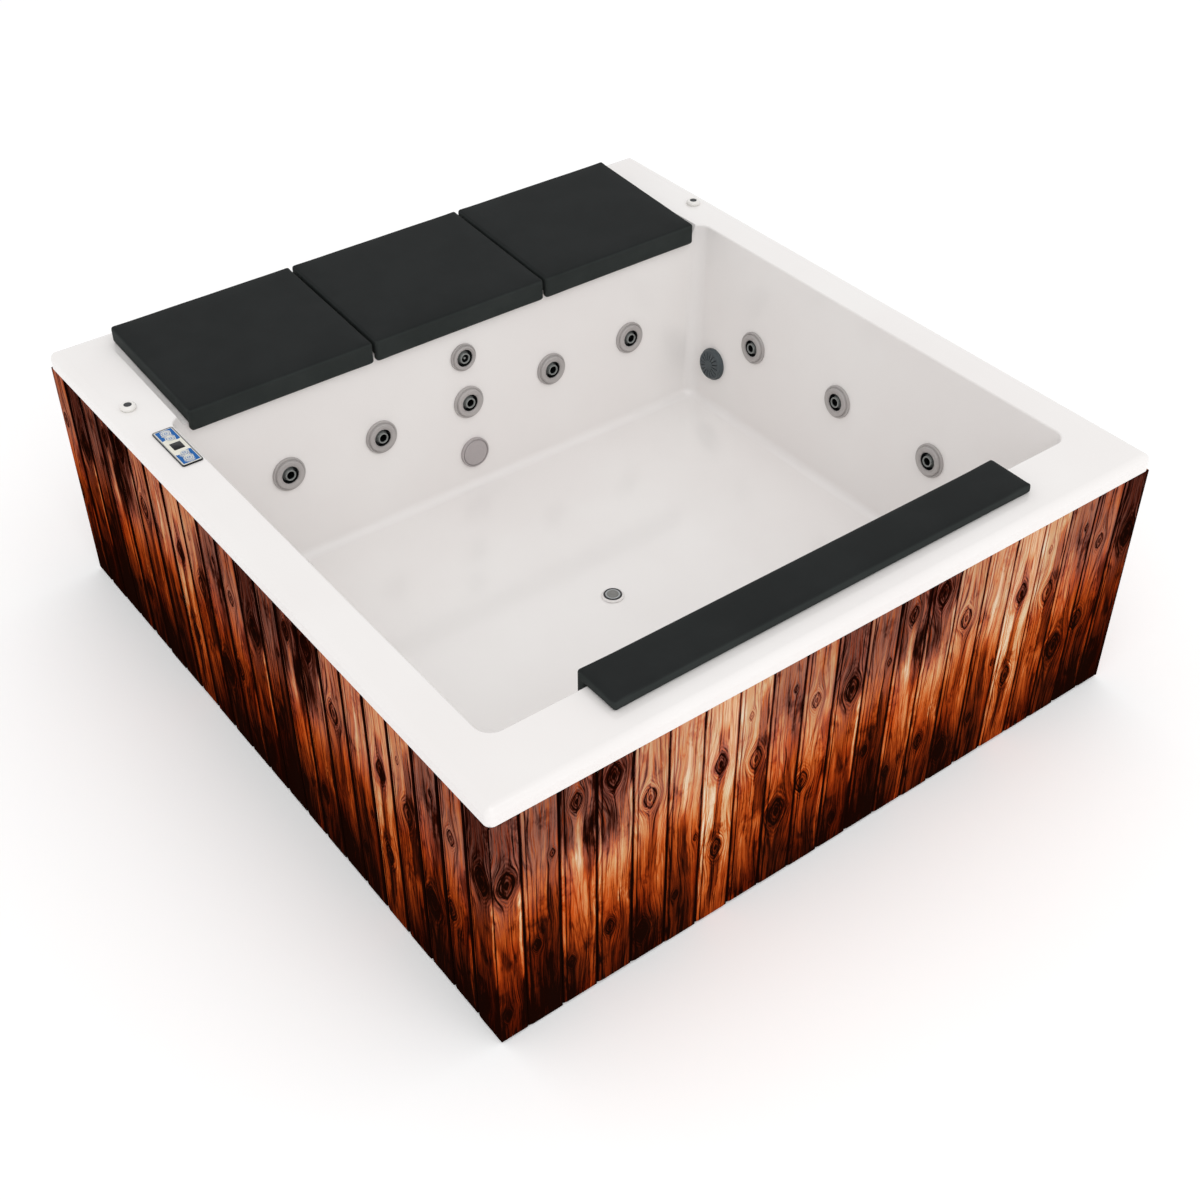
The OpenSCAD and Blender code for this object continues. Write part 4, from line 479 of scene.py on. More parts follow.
def skirt_wood():
    """Oiled rustic boards: grain that flows round knots, heart bands, pale streaks, dark joints."""
    net = Net("rustic_boards")
    across, down, seed = net.split(net.attribute("board"))
    purple, *gains = net.split(net.attribute("gain"))
    slow = net.noise(net.join(across * 8, down * 2.4, seed), 1.0, 2.0) - 0.5
    quick = net.noise(net.join(across * 30, down * 10, seed + 5.0), 1.0, 3.0) - 0.5
    flow = across + slow * 0.05 + quick * 0.008
    dark_a, ring_a, flow = knot(net, "knot_a", across, down, quick, flow)
    dark_b, ring_b, flow = knot(net, "knot_b", across, down, quick, flow)
    grain = {name: net.noise(net.join(flow * wide, down * tall, seed + offset), 1.0, detail, rough)
             for name, (wide, tall, offset, detail, rough) in GRAIN.items()}
    figure, veins, fine, blotch = (grain[name] for name in ("figure", "veins", "fine", "blotch"))
    bands, fibre, flame = (grain[name] - 0.5 for name in ("bands", "fibre", "flame"))
    contour = net.math("SINE", figure * 62.0 + flow * 260.0 + quick * 2.0)
    wander = slow * 0.2 + flame * 0.16 + bands * 0.14
    tone = height_tones(net, down, wander)
    tone = tone + (figure - 0.5) * 0.55 + bands * 0.66 + flame * 0.5 + fibre * 0.14 + 0.2
    tone = tone - net.smooth(contour, 0.5, 0.98, 0.15) - net.smooth(veins, 0.54, 0.63, 0.27)
    tone = tone - net.smooth(fine, 0.53, 0.64, 0.25) + net.smooth(fine, 0.3, 0.46, -0.12)
    tone = tone - net.smooth(blotch, 0.53, 0.7, 0.24)
    tone = tone + long_marks(net, across, down, slow, flame, gains)
    tone = tone - dark_a - dark_b + ring_a + ring_b - net.smooth(down, 0.34, 0.7, 0.4)
    tone = tone * 0.93 + 0.045 + joint_tones(net, across)
    base = net.ramp(tone, WOOD_RAMP)
    base = weathered(net, base, tone, purple, across, down, seed, wander, fine)
    height = (1.0 - veins) * 0.5 + (1.0 - fine) * 0.3 + dark_a * -0.4 + bands * 0.4
    net.relief(height, 0.5, 0.0016)
    gloss = fibre * 0.25 + net.smooth(tone, 0.2, 0.9, 0.12) + 0.42
    return net.finish(Base_Color=base, Roughness=gloss, Specular_IOR_Level=0.0)


WHITE = acrylic()
FOAM = cushion_foam()
BOARDS = skirt_wood()
PINE = planed_wood("pine_frame", (206, 176, 132), (166, 122, 76))
JET_GREY = plain("satin_grey_plastic", (172, 167, 165), 0.36, 700, 0.06, spread=0.03, coat=0.1)
NOZZLE_GREY = plain("nozzle_grey_plastic", (128, 131, 129), 0.38, 700, 0.06, spread=0.04)
RECESS = plain("recess_black", (16, 18, 19), 0.42, 500, 0.08, specular=0.25)
DARK = plain("dark_plastic", (38, 40, 43), 0.48, 800, 0.18)
SLATE = plain("slate_plastic", (72, 79, 82), 0.4, 800, 0.1, spread=0.05, specular=0.25)
LENS = plain("lamp_lens_frosted", (170, 163, 163), 0.3, 260, 0.1, spread=0.03, coat=0.2,
             specular=0.3)
PIPE = plain("pipe_plastic", (226, 226, 220), 0.36, 500, 0.05, spread=0.03)
ZINC = drawn_metal("zinc_plate", (176, 182, 188), 0.38)
STEEL = drawn_metal("brushed_steel", (198, 200, 202), 0.28)
CHROME = drawn_metal("dark_chrome", (78, 78, 80), 0.2)
PLUG = plain("plug_grey", (118, 118, 115), 0.34, 500, 0.05, spread=0.04, coat=0.1)
RUBBER = plain("seal_rubber", (44, 44, 44), 0.75, 1200, 0.3)
PAINT = plain("motor_enamel", (52, 58, 66), 0.4, 240, 0.35, depth=0.0005, coat=0.3)
BOX = plain("box_enamel", (92, 97, 104), 0.42, 320, 0.2)
CREAM = plain("panel_cream", (230, 227, 214), 0.34, 600, 0.06, spread=0.02)
BLUE = plain("panel_blue", (0, 92, 164), 0.35, 600, 0.05, spread=0.05, specular=0.15)
KEY = plain("key_grey", (196, 200, 202), 0.3, 600, 0.05, spread=0.03, coat=0.2)
GLASS = plain("display_black", (9, 10, 12), 0.12, 200, 0.01, spread=0.2, specular=0.15)
BEZEL = plain("bezel_black", (20, 21, 23), 0.34, 900, 0.12, specular=0.25)
TRIM = plain("bezel_edge_grey", (176, 178, 178), 0.3, 700, 0.05, spread=0.03)
KNOB = plain("knob_white", (236, 233, 229), 0.24, 500, 0.04, spread=0.015, coat=0.3)
CAP = plain("knob_cap_grey", (56, 58, 60), 0.42, 900, 0.15, specular=0.2)


# Tub shell

UNDER_CHAMFER, LIP_CHAMFER, LEAST_CORNER = 14, 1.5, 2
JET_HOLE_R, LAMP_HOLE_R, SUCTION_HOLE_R, DRAIN_HOLE_R, KNOB_HOLE_R = 33.3, 30.3, 28.3, 21.3, 13.3
HOLE_REACH, SLOT_X, SLOT_Y, SLOT_REACH = 24, 19.3, 74.3, 20
SUPPORT_SIDE, SUPPORT_DROP, SUPPORT_FRONT, CUT_OVER, PIERCE_REACH = 13, 4, 2, 8, 60


def quarter(steps):
    return [math.pi / 2 * k / steps for k in range(steps + 1)]


def basin_ring(z, out, r):
    """The basin's outline at one height, moved out from its inner face."""
    side, end = out / math.cos(SIDE_TILT), out / math.cos(BACK_TILT)
    return round_rect(side_x(z) + side, front_y(z) - end, back_y(z) + end, r, z)


def rim_ring(inset, z, r):
    """The rim's outline at one height, moved in from its outer face."""
    x, y = TUB_W / 2 - inset, TUB_D / 2 - inset
    return round_rect(x, -y, y, max(r, LEAST_CORNER), z)


def shell_rings():
    """Rings from under the basin floor, out under the rim, over it and down into the basin."""
    rings = []
    outer, under, lean_in = FILLET + SHELL_T, RIM_Z - SHELL_T, SHELL_T + UNDER_CHAMFER
    for a in quarter(8):
        pull = outer * (1 - math.sin(a))
        rings.append(basin_ring(FLOOR_Z - SHELL_T + outer * (1 - math.cos(a)), SHELL_T - pull,
                                BASIN_CORNER + SHELL_T - pull))
    rings.append(basin_ring(under, SHELL_T, BASIN_CORNER + SHELL_T))
    for inset, z in ((lean_in, under), (SHELL_T, under - UNDER_CHAMFER), (SHELL_T, LIP_Z),
                     (LIP_CHAMFER, LIP_Z), (0, LIP_Z + LIP_CHAMFER)):
        rings.append(rim_ring(inset, z, RIM_CORNER - inset))
    for a in quarter(10):
        pull = RIM_EDGE * (1 - math.cos(a))
        rings.append(rim_ring(pull, RIM_Z - RIM_EDGE * (1 - math.sin(a)), RIM_CORNER - pull))
    for a in reversed(quarter(5)):
        flare = INNER_EDGE * (1 - math.cos(a))
        rings.append(basin_ring(RIM_Z - INNER_EDGE * (1 - math.sin(a)), flare,
                                BASIN_CORNER + flare))
    for a in reversed(quarter(10)):
        pull = FILLET * (1 - math.sin(a))
        rings.append(basin_ring(FLOOR_Z + FILLET * (1 - math.cos(a)), -pull, BASIN_CORNER - pull))
    return rings


def deck_support():
    """Block under the sloping deck, which the recess is cut into."""
    x, top = DECK_HALF + SHELL_T + SUPPORT_SIDE, RIM_Z - SUPPORT_DROP
    y0, y1 = BACK_Y + SUPPORT_FRONT, DECK_BACK + SHELL_T
    rings = [[(-x, y, foot), (x, y, foot), (x, y, top), (-x, y, top)]
             for y, foot in ((y0, deck_z(y0) - SHELL_T), (y1, RIM_Z - SHELL_T))]
    return Shape().loft(rings).make("deck_support", [WHITE], body=None)


def shell_cutters():
    """The recess and every hole of the shell, as pieces that don't touch."""
    top, rings = RIM_Z + CUT_OVER, []
    for y in (BACK_Y - CUT_OVER, DECK_BACK + CUT_OVER):
        wide = DECK_HALF + (top - deck_z(y)) * math.tan(DECK_SIDE_LEAN)
        rings.append([(-DECK_HALF, y, deck_z(y)), (DECK_HALF, y, deck_z(y)), (wide, y, top),
                      (-wide, y, top)])
    recess = Shape().loft(rings).make("recess_cutter", [], body=None)
    holes, under = Shape(), RIM_Z - SHELL_T
    tools = [(jet[0], JET_HOLE_R) for jet in JETS] + [(LAMP, LAMP_HOLE_R)]
    tools += [(place, SUCTION_HOLE_R) for place in SUCTIONS]
    tools.append((Matrix.Translation((0, DRAIN_Y, FLOOR_Z)), DRAIN_HOLE_R))
    tools += [(Matrix.Translation((x, KNOB_Y, under)), KNOB_HOLE_R) for x in (KNOB_X, -KNOB_X)]
    for place, r in tools:
        holes.spin([(r, -HOLE_REACH), (r, HOLE_REACH)], place)
    holes.loft([wedge(-SLOT_X, SLOT_Y, SLOT_X, SLOT_Y, z) for z in (-SLOT_REACH, SLOT_REACH)],
               Matrix.Translation((PANEL_X, PANEL_Y, under)))
    return recess, holes.make("hole_cutter", [], body=None)


def build_shell():
    shell = Shape().loft(shell_rings()).make("acrylic_shell", [WHITE], body=None)
    cut_with(shell, deck_support(), "UNION")
    for cutter in shell_cutters():
        cut_with(shell, cutter)
    while len(shell.data.materials) > 1:
        shell.data.materials.pop()
    shell.data.polygons.foreach_set("material_index", [0] * len(shell.data.polygons))
    finish_mesh(shell.data, SHELL_SHARP_ANGLE)
    shell.modifiers.new("normals", "WEIGHTED_NORMAL").keep_sharp = True
    dress(shell, "tub", ["tub_shell"])


# Wooden skirt

BOARD_T, BOARD_PITCH, BOARD_GAP, BOARD_TOP, BOARD_FOOT, BOARD_RAG = 18, 92, 2.5, 668.7, 4, 4
FACE_W, BOARD_H = BOARD_PITCH - BOARD_GAP, BOARD_TOP - BOARD_FOOT
BEVEL_W, BEVEL_D, FACE_DEPTH, SINK_MOST = 8.5, 2.6, 6, 0.9
FIRST_FRONT, FIRST_SIDE = 70, 78.5
WASTE_Z, WASTE_HOLE_R = 135, 20.3
GLAND_X, GLAND_Z, GLAND_HOLE_R = -454, 150, 16.3
# How strongly painted shade darkens the top, middle and foot of a board
PAINTED_SHADE_SHARES = (1.5, 2.1, 1.7)
# Painted shade on the left wall, and on the last two boards of the front
LEFT_PAINTED_SHADE, END_PAINTED_SHADE = 0.1, 0.1

# One board's character: tones from top to foot, coolness of its top, two knots (place across and
# down as shares, radius in millimetres), a narrow streak and a wide band (place across, from, to
# as shares, strength)
Look = namedtuple("Look", "tone purple knot_a knot_b streak band", defaults=[(0, 0, 0, 0)])

LOOKS = [
    Look((0.34, 0.51, 0.34), 0.8, (0.6, 0.27, 18), (0.45, 0.88, 8), (0.97, 0.34, 0.75, 0.45)),
    Look((0.48, 0.51, 0.3), 0.8, (0.8, 0.24, 6), (0.3, 0.62, 8), (0.1, 0.35, 0.6, 0.2),
         (0.5, 0.5, 0.95, -0.12)),
    Look((0.28, 0.59, 0.5), 0.6, (0.45, 0.08, 12), (0.25, 0.8, 8), (0.45, 0.14, 0.38, 0.3),
         (0.75, 0.18, 0.45, -0.3)),
    Look((0.32, 0.69, 0.48), 0.5, (0.45, 0.06, 17), (0.35, 0.74, 10), (0.92, 0.13, 0.37, 0.45),
         (0.7, 0.56, 0.68, 0.24)),
    Look((0.7, 0.65, 0.42), 0.3, (0.45, 0.24, 15), (0.3, 0.86, 14), (0.12, 0.02, 0.5, 0.18),
         (0.57, 0.3, 0.6, -0.2)),
    Look((0.74, 0.67, 0.38), 0.15, (0.85, 0.55, 5), (0.3, 0.78, 7), (0.5, 0.08, 0.4, 0.18),
         (0.5, 0.46, 0.7, -0.18)),
    Look((0.86, 0.87, 0.72), 0.0, (0.5, 0.27, 15), (0.5, 0.66, 14), (0.1, 0.1, 0.95, 0.14),
         (0.52, 0.12, 0.95, -0.32)),
    Look((0.76, 0.69, 0.56), 0.1, (0.35, 0.13, 6), (0.6, 0.34, 16), (0.1, 0.05, 0.6, 0.2),
         (0.78, 0.06, 0.62, -0.32)),
    Look((0.56, 0.55, 0.42), 0.8, (0.4, 0.66, 20), (0.7, 0.12, 5), (0.4, 0.2, 0.5, 0.2),
         (0.8, 0.1, 0.5, -0.12)),
    Look((0.66, 0.61, 0.34), 0.5, (0.4, 0.225, 11), (0.2, 0.58, 14), (0.92, 0.62, 0.99, 0.4),
         (0.85, 0.33, 0.45, -0.24)),
]


def board_outline(start, end, start_in, end_in, sink):
    """Section of one board in (along, depth), anticlockwise seen from above."""
    left = [(start, sink + BEVEL_D), (start + BEVEL_W, sink + 0.3), (start + BEVEL_W + 0.6, sink)]
    if start_in > start:
        left = [(start + 0.5, 0.5), (start + 1.1, 0)]
    right = [(end - 1.2, sink), (end, sink + 1.4)]
    if end_in < end:
        right = [(end - 1.1, 0), (end - 0.5, 0.5)]
    return left + right + [(end_in, BOARD_T), (start_in, BOARD_T)]


def board_rows(i, count, start, end, length, sink):
    """Rings of one board from its ragged foot to its top, as (along, depth, height)."""
    foot = BOARD_FOOT + BOARD_RAG * abs(math.sin(math.radians(137 * i + 40)))
    outline = board_outline(start, end, BOARD_T if i == 0 else start,
                            length - BOARD_T if i == count else end, sink)
    # the face is taken back a little at both ends
    levels = [(foot, 1.2), (foot + 1.5, 0), (BOARD_TOP - 1, 0), (BOARD_TOP, 0.8)]
    return [[(t, d + (inset if d < FACE_DEPTH else 0), z) for t, d in outline]
            for z, inset in levels]


def board_values(kind, point, start, end, lead, sink, chamfered, painted_shade):
    """What the wood's shader has to know at one corner of a board, in metres."""
    (t, d, z), look = point, LOOKS[kind]
    slope = chamfered and t - start < BEVEL_W - 1 and d < FACE_DEPTH
    values = {
        "board": ((t - start + lead) * MM, (BOARD_TOP - z) * MM, 3.0 + 9.7 * kind),
        # the second value, how far back in the gap a point lies, drives painted shade
        "edges": ((end - t) * MM, max((d - sink) / BOARD_T - 0.16, 0), float(slope)),
        # the board's tones, lowered by painted shade
        "tone": [level - painted_shade * share for level, share in zip(look.tone, PAINTED_SHADE_SHARES)],
        "gain": (look.purple, look.streak[3], look.band[3])}
    for key in ("knot_a", "knot_b"):
        across, down, r = getattr(look, key)
        values[key] = (across * FACE_W * MM, down * BOARD_H * MM, r * MM)
    for key in ("streak", "band"):
        across, top, foot = getattr(look, key)[:3]
        values[key] = (across * FACE_W * MM, top * BOARD_H * MM, foot * BOARD_H * MM)
    return values


def board_wall(name, length, first_w, shift, place, node, painted_shade=0.0, end_painted_shade=0.0):
    """A wall of boards, the first of kind shift. Painted shade darkens all of its boards by one
    amount and its last two by another.
    """
    shape, corners, luck = Shape(), [], random.Random(shift)
    count = int((length - first_w) // BOARD_PITCH) + 1
    for i in range(count + 1):
        start = 0 if i == 0 else first_w + (i - 1) * BOARD_PITCH + BOARD_GAP / 2
        end = length if i == count else first_w + i * BOARD_PITCH - BOARD_GAP / 2
        sink = 0 if i in (0, count) else luck.uniform(0, SINK_MOST)
        # the first board is cut at its left, so its pattern starts further in
        lead = FACE_W - (end - start) if i == 0 else 0
        # the painted shade of this board
        dark = painted_shade + (end_painted_shade if i >= count - 1 else 0)
        rows = board_rows(i, count, start, end, length, sink)
        kind = (i + shift) % len(LOOKS)
        corners += [board_values(kind, point, start, end, lead, sink, i > 0, dark)
                    for row in rows for point in row]
        shape.loft(rows)
    shape.verts = [Vector(place(*v)) for v in shape.verts]
    wall = shape.make(name, [BOARDS], body=None)
    # the weld keeps the order of the vertices, because no two boards touch
    for key in corners[0]:
        layer = wall.data.attributes.new(key, "FLOAT_VECTOR", "CORNER")
        flat = [c for loop in wall.data.loops for c in corners[loop.vertex_index][key]]
        layer.data.foreach_set("vector", flat)
    dress(wall, "tub", [node])
    return wall


def pierce(wall, centre, axis, r):
    """A round hole through one wall of boards."""
    turn = Matrix.Rotation(math.pi / 2, 4, "Y" if axis == "X" else "X")
    hole = Shape().spin([(r, -PIERCE_REACH), (r, PIERCE_REACH)], Matrix.Translation(centre) @ turn)
    cut_with(wall, hole.make("hole", [], body=None))


def build_skirt():
    x, y = TUB_W / 2, TUB_D / 2
    # the left wall and the front's last two boards get painted shade
    board_wall("boards_front", TUB_W, FIRST_FRONT, 0, lambda t, d, z: (t - x, d - y, z),
               "skirt_front", end_painted_shade=END_PAINTED_SHADE)
    board_wall("boards_left", TUB_D, FIRST_SIDE, 9, lambda t, d, z: (d - x, y - t, z),
               "skirt_left", painted_shade=LEFT_PAINTED_SHADE)
    right = board_wall("boards_right", TUB_D, FIRST_SIDE, 5, lambda t, d, z: (x - d, y - t, z),
                       "skirt_right")
    back = board_wall("boards_back", TUB_W, FIRST_FRONT, 4, lambda t, d, z: (x - t, y - d, z),
                      "skirt_back")
    pierce(right, (x, DRAIN_Y, WASTE_Z), "X", WASTE_HOLE_R)
    pierce(back, (GLAND_X, y, GLAND_Z), "Y", GLAND_HOLE_R)


# Cushions

PAD_EDGE, PAD_STEP, PAD_GAP, PAD_INSET, PAD_WELD = 8.5, 17, 0.3, 1, 2e-5
CROWN_FROM, SEAT_BAND = 12, 1.5
SWELL, CROWN, CLOTH_FRAMES, CLOTH_PRESSURE = 1.8, 1.4, 18, 5
PAD_BACK, PAD_FRONT, PAD_LIP_Z, PAD_T = 949.4, 509.5, 671, 48.7
PAD_ENDS = ((-797, -272), (-268, 268), (272, 797))
REST_HALF, REST_OUT, REST_IN, REST_TOP, REST_LIP_Y, REST_LIP_Z = 602, -936, -808, 743, -832.9, 673


def pad_mesh(name, x0, x1, corners):
    """A long cushion along X: outline of (y, z), rounded edges, cut into even small faces."""
    work = bmesh.new()
    near, far = [[work.verts.new(Vector((x, y, z)) * MM) for y, z in corners] for x in (x0, x1)]
    work.faces.new(near[::-1])
    work.faces.new(far)
    for i, k in enumerate(list(range(1, len(corners))) + [0]):
        work.faces.new((near[i], near[k], far[k], far[i]))
    bmesh.ops.recalc_face_normals(work, faces=work.faces)
    outer = [e for e in work.edges if e.calc_face_angle_signed(0) > 0.3]
    bmesh.ops.bevel(work, geom=outer, offset=PAD_EDGE * MM, segments=5, profile=0.5, affect="EDGES")
    for axis, places, step in ((0, (x0, x1), PAD_STEP), (1, [c[0] for c in corners], PAD_STEP),
                               (2, [c[1] for c in corners], PAD_STEP * 0.6)):
        low, room = min(places), max(places) - min(places) - 2 * PAD_EDGE
        count = int(room // step) + 1
        for k in range(count):
            point, normal = [0, 0, 0], [0, 0, 0]
            point[axis], normal[axis] = (low + PAD_EDGE + room * (k + 0.5) / count) * MM, 1
            bmesh.ops.bisect_plane(work, geom=work.verts[:] + work.edges[:] + work.faces[:],
                                   plane_co=point, plane_no=normal)
    bmesh.ops.remove_doubles(work, verts=work.verts, dist=PAD_WELD)
    mesh = bpy.data.meshes.new(name)
    work.to_mesh(mesh)
    work.free()
    mesh.materials.append(FOAM)
    mesh.polygons.foreach_set("use_smooth", [True] * len(mesh.polygons))
    return place_object(name, mesh)


def swell(obj, seats):
    """Crowns the cushion: air pressure in simulated cloth, held at its seat, capped and applied."""
    mesh = obj.data
    start = [v.co.copy() for v in mesh.vertices]
    held = obj.vertex_groups.new(name="held")
    held.add([i for i, co in enumerate(start) if seats(co)], 1.0, "REPLACE")
    cloth = obj.modifiers.new("cloth", "CLOTH")
    settings = cloth.settings
    settings.vertex_group_mass = "held"
    settings.quality = 6
    settings.mass = 0.4
    settings.tension_stiffness = settings.compression_stiffness = 60
    settings.shear_stiffness = 30
    settings.bending_stiffness = 4
    settings.use_pressure = True
    settings.uniform_pressure_force = CLOTH_PRESSURE
    settings.effector_weights.gravity = 0
    cloth.collision_settings.use_collision = False
    scene = bpy.context.scene
    for number in range(CLOTH_FRAMES):
        scene.frame_set(number + 1)
    shaped = obj.evaluated_get(bpy.context.evaluated_depsgraph_get()).data
    ends = [v.co.copy() for v in shaped.vertices]
    obj.modifiers.remove(cloth)
    scene.frame_set(1)
    most = SWELL * MM
    for vertex, a, b in zip(mesh.vertices, start, ends):
        move = b - a
        vertex.co = a + (move * (most / move.length) if move.length > most else move)


def build_pad(node, x0, x1, corners, seat_z):
    """Corners run anticlockwise from the back top, as in the construction."""
    centre, half = (x0 + x1) / 2, (x1 - x0) / 2
    obj = pad_mesh(node + "_cushion", x0, x1, corners)
    ys = [c[0] for c in corners]
    mid_y, half_y = (min(ys) + max(ys)) / 2, (max(ys) - min(ys)) / 2
    for vertex in obj.data.vertices:
        x, y, z = vertex.co / MM
        if z > seat_z(y) + CROWN_FROM:
            # the shallow crown of the top
            u, v = (x - centre) / half, (y - mid_y) / half_y
            vertex.co.z += CROWN * MM * max(1 - u ** 4, 0) * max(1 - v ** 4, 0)
    swell(obj, lambda co: co.z / MM < seat_z(co.y / MM) + SEAT_BAND)
    smooth = obj.modifiers.new("smooth", "SUBSURF")
    smooth.levels = smooth.render_levels = 1
    dress(obj, node, [node])


def build_pads():
    thick, lip, lip_z = PAD_T - SWELL, back_y(PAD_LIP_Z) - PAD_GAP, PAD_LIP_Z
    inner = lip - PAD_INSET
    corners = [(PAD_BACK, deck_z(PAD_BACK) + thick), (PAD_FRONT, deck_z(PAD_FRONT) + thick),
               (PAD_FRONT, lip_z), (inner, lip_z), (inner, deck_z(lip) + PAD_GAP),
               (PAD_BACK, deck_z(PAD_BACK) + PAD_GAP)]
    for node, (x0, x1) in zip(("back_pad_left", "back_pad_middle", "back_pad_right"), PAD_ENDS):
        build_pad(node, x0 + PAD_INSET, x1 - PAD_INSET, corners,
                  lambda y: deck_z(y) + PAD_GAP if y > lip else lip_z)
    top, seat, lip_y = REST_TOP - SWELL, RIM_Z + PAD_GAP, REST_LIP_Y + PAD_INSET
    corners = [(REST_OUT, top), (REST_OUT, seat), (lip_y, seat), (lip_y, REST_LIP_Z),
               (REST_IN, REST_LIP_Z), (REST_IN, top)]
    build_pad("front_headrest", -REST_HALF, REST_HALF, corners,
              lambda y: seat if y < REST_LIP_Y else REST_LIP_Z)


# Jets, lamp, suction covers and drain

BODY_TOP, FACE_H, RECESS_R, BALL_R, BALL_DEPTH = 4.5, 13.5, 24.5, 20, 10
TEETH, NOTCHES, VANES, VANE_TWIST, COVER_RIBS, DRAIN_ARMS = 16, 4, 6, 0.55, 16, 3
TUBE_R, BORE_R, NOZZLE_TOP = 15, 11, FACE_H + BALL_DEPTH
PLUG_SEAT, DOME_R, DOME_Z, DOME_RISE, DOME_STEP_R, DOME_STEP = 4.3, 36.6, 8.6, 1.75, 24.3, 0.35


def jet_profile(flange, ring):
    """Outer flange with a soft edge, groove, swelling inner ring, and the recess's mouth."""
    top = BODY_TOP + 2.5
    out = [(RECESS_R, BODY_TOP), (flange - 1.5, BODY_TOP), (flange - 1.5, 0.3), (flange, 0.3)]
    out += arc(flange - 2, top - 2, 2, 0, 90)
    out += [(ring + 2.2, top), (ring + 1.2, top - 1.1), (ring + 0.2, top - 1.1), (ring - 0.4, top)]
    out += arc(ring - 4.4, FACE_H - 4, 4, 8, 100, 6)
    out += [(RECESS_R + r, FACE_H - z) for r, z in ((4.4, 0.5), (3.4, 1.5), (2.6, 0.9))]
    return out + arc(RECESS_R + 1.4, FACE_H - 2.6, 1.4, 60, 180, 4)


def build_jets():
    faces, teeth = Shape(), Shape()
    root, tip_z = RECESS_R + 0.3, FACE_H - 4
    for place, flange, ring in JETS:
        faces.spin(jet_profile(flange, ring), place, 72, loop=True)
        for turn in around(place, TEETH):
            teeth.loft([wedge(RECESS_R - 3.6, 1.1, root, 1.6, -3),
                        wedge(RECESS_R - 2.4, 1.0, root, 1.5, tip_z - 2, tip_z)], turn)
        # painted shade: a near-black lining of the recess wall stands for the shade in the narrow
        # gap round the nozzle; the ribs are real parts
        teeth.spin(tube(RECESS_R - 0.9, RECESS_R + 0.2, -3, FACE_H - 5), place, 48, loop=True)
    faces.make("jet_face_rings", [JET_GREY], "jet_grey", "tub", ["jet_faces"])
    teeth.make("jet_recess_teeth", [RECESS], "dark_plastic", "tub")


def nozzle_profile():
    """Ball, tube with a rolled lip, and the bore."""
    top = NOZZLE_TOP
    out = [(r, z) for r, z in arc(0, 0, BALL_R, -44, 40, 12) if r > TUBE_R + 0.2 or z < 0]
    out += [(TUBE_R, 13.6), (TUBE_R, top - 5), (TUBE_R - 0.7, top - 4.2), (TUBE_R - 0.7, top - 3.4),
            (TUBE_R, top - 2.6)]
    out += arc(TUBE_R - 1.6, top - 1.6, 1.6, 0, 90, 4)
    out += arc(BORE_R + 1.2, top - 1.2, 1.2, 90, 180, 4)
    return out + [(BORE_R, top - 8), (BORE_R - 0.4, 0), (BORE_R, -13.9)]


def add_vanes(shape, at):
    """Twisted vanes round a small hub, in the mouth of the upper jet."""
    top = NOZZLE_TOP
    for turn in around(at, VANES):
        shape.loft([wedge(2.2, 0.6, BORE_R - 0.6, 0.6, z) for z in (top - 11, top - 4)],
                   turn @ Matrix.Rotation(VANE_TWIST, 4, "X"), 1)
    shape.spin([(3.4, top - 12)] + arc(1.2, top - 5.2, 2.2, 0, 80, 3) + [(0.2, top - 3)], at, 24)


def build_nozzles():
    # painted shade: a near-black sleeve lines the bore and is closed behind, so the bore reads dark
    sleeve = [(BORE_R + 0.2, -10), (BORE_R + 0.2, NOZZLE_TOP - 3.4), (BORE_R - 0.5, NOZZLE_TOP - 3),
              (BORE_R - 0.9, -8), (0.4, -8), (0.4, -10)]
    for number, (place, flange, _) in enumerate(JETS, 1):
        shape, at = Shape(), place @ Matrix.Translation((0, 0, -BALL_DEPTH))
        shape.spin(nozzle_profile(), at, 48, loop=True)
        shape.spin(sleeve, at, 48, 1)
        if flange < JET_R[0]:
            add_vanes(shape, at)
        else:
            for turn in around(at, NOTCHES, 0.4):
                shape.loft([wedge(BORE_R - 1.6, 0.9, BORE_R + 0.1, 1.2, z)
                            for z in (-6, NOZZLE_TOP - 3.5)], turn, 1)
        node = "jet_nozzle_%d" % number
        shape.make(node + "_tube", [NOZZLE_GREY, RECESS], "jet_grey", node, [node])


def build_lamp():
    """A clear-edged rim, a deep narrow groove and a shallow frosted dome with an inner step."""
    lens = [(0.2, 4.6), (42.5, 4.6), (42.5, 0.3), (44, 0.3), (44, 6.6)]
    lens += arc(41.8, 6.4, 2.2, 5, 85, 4)
    lens += [(39.6, 8.5), (39.2, 5.0), (37.6, 5.0), (37.2, 8.0), (DOME_R, DOME_Z)]
    for r in (34, 31, 28, 25, 24.2, 23.6, 20, 15, 10, 5, 0.2):
        step = DOME_STEP if r < DOME_STEP_R else 0
        lens.append((r, DOME_Z + DOME_RISE * (1 - (r / DOME_R) ** 2) - step))
    Shape().spin(lens, LAMP, 72).make("lamp_lens_dome", [LENS], "lens", "tub", ["lamp_lens"])


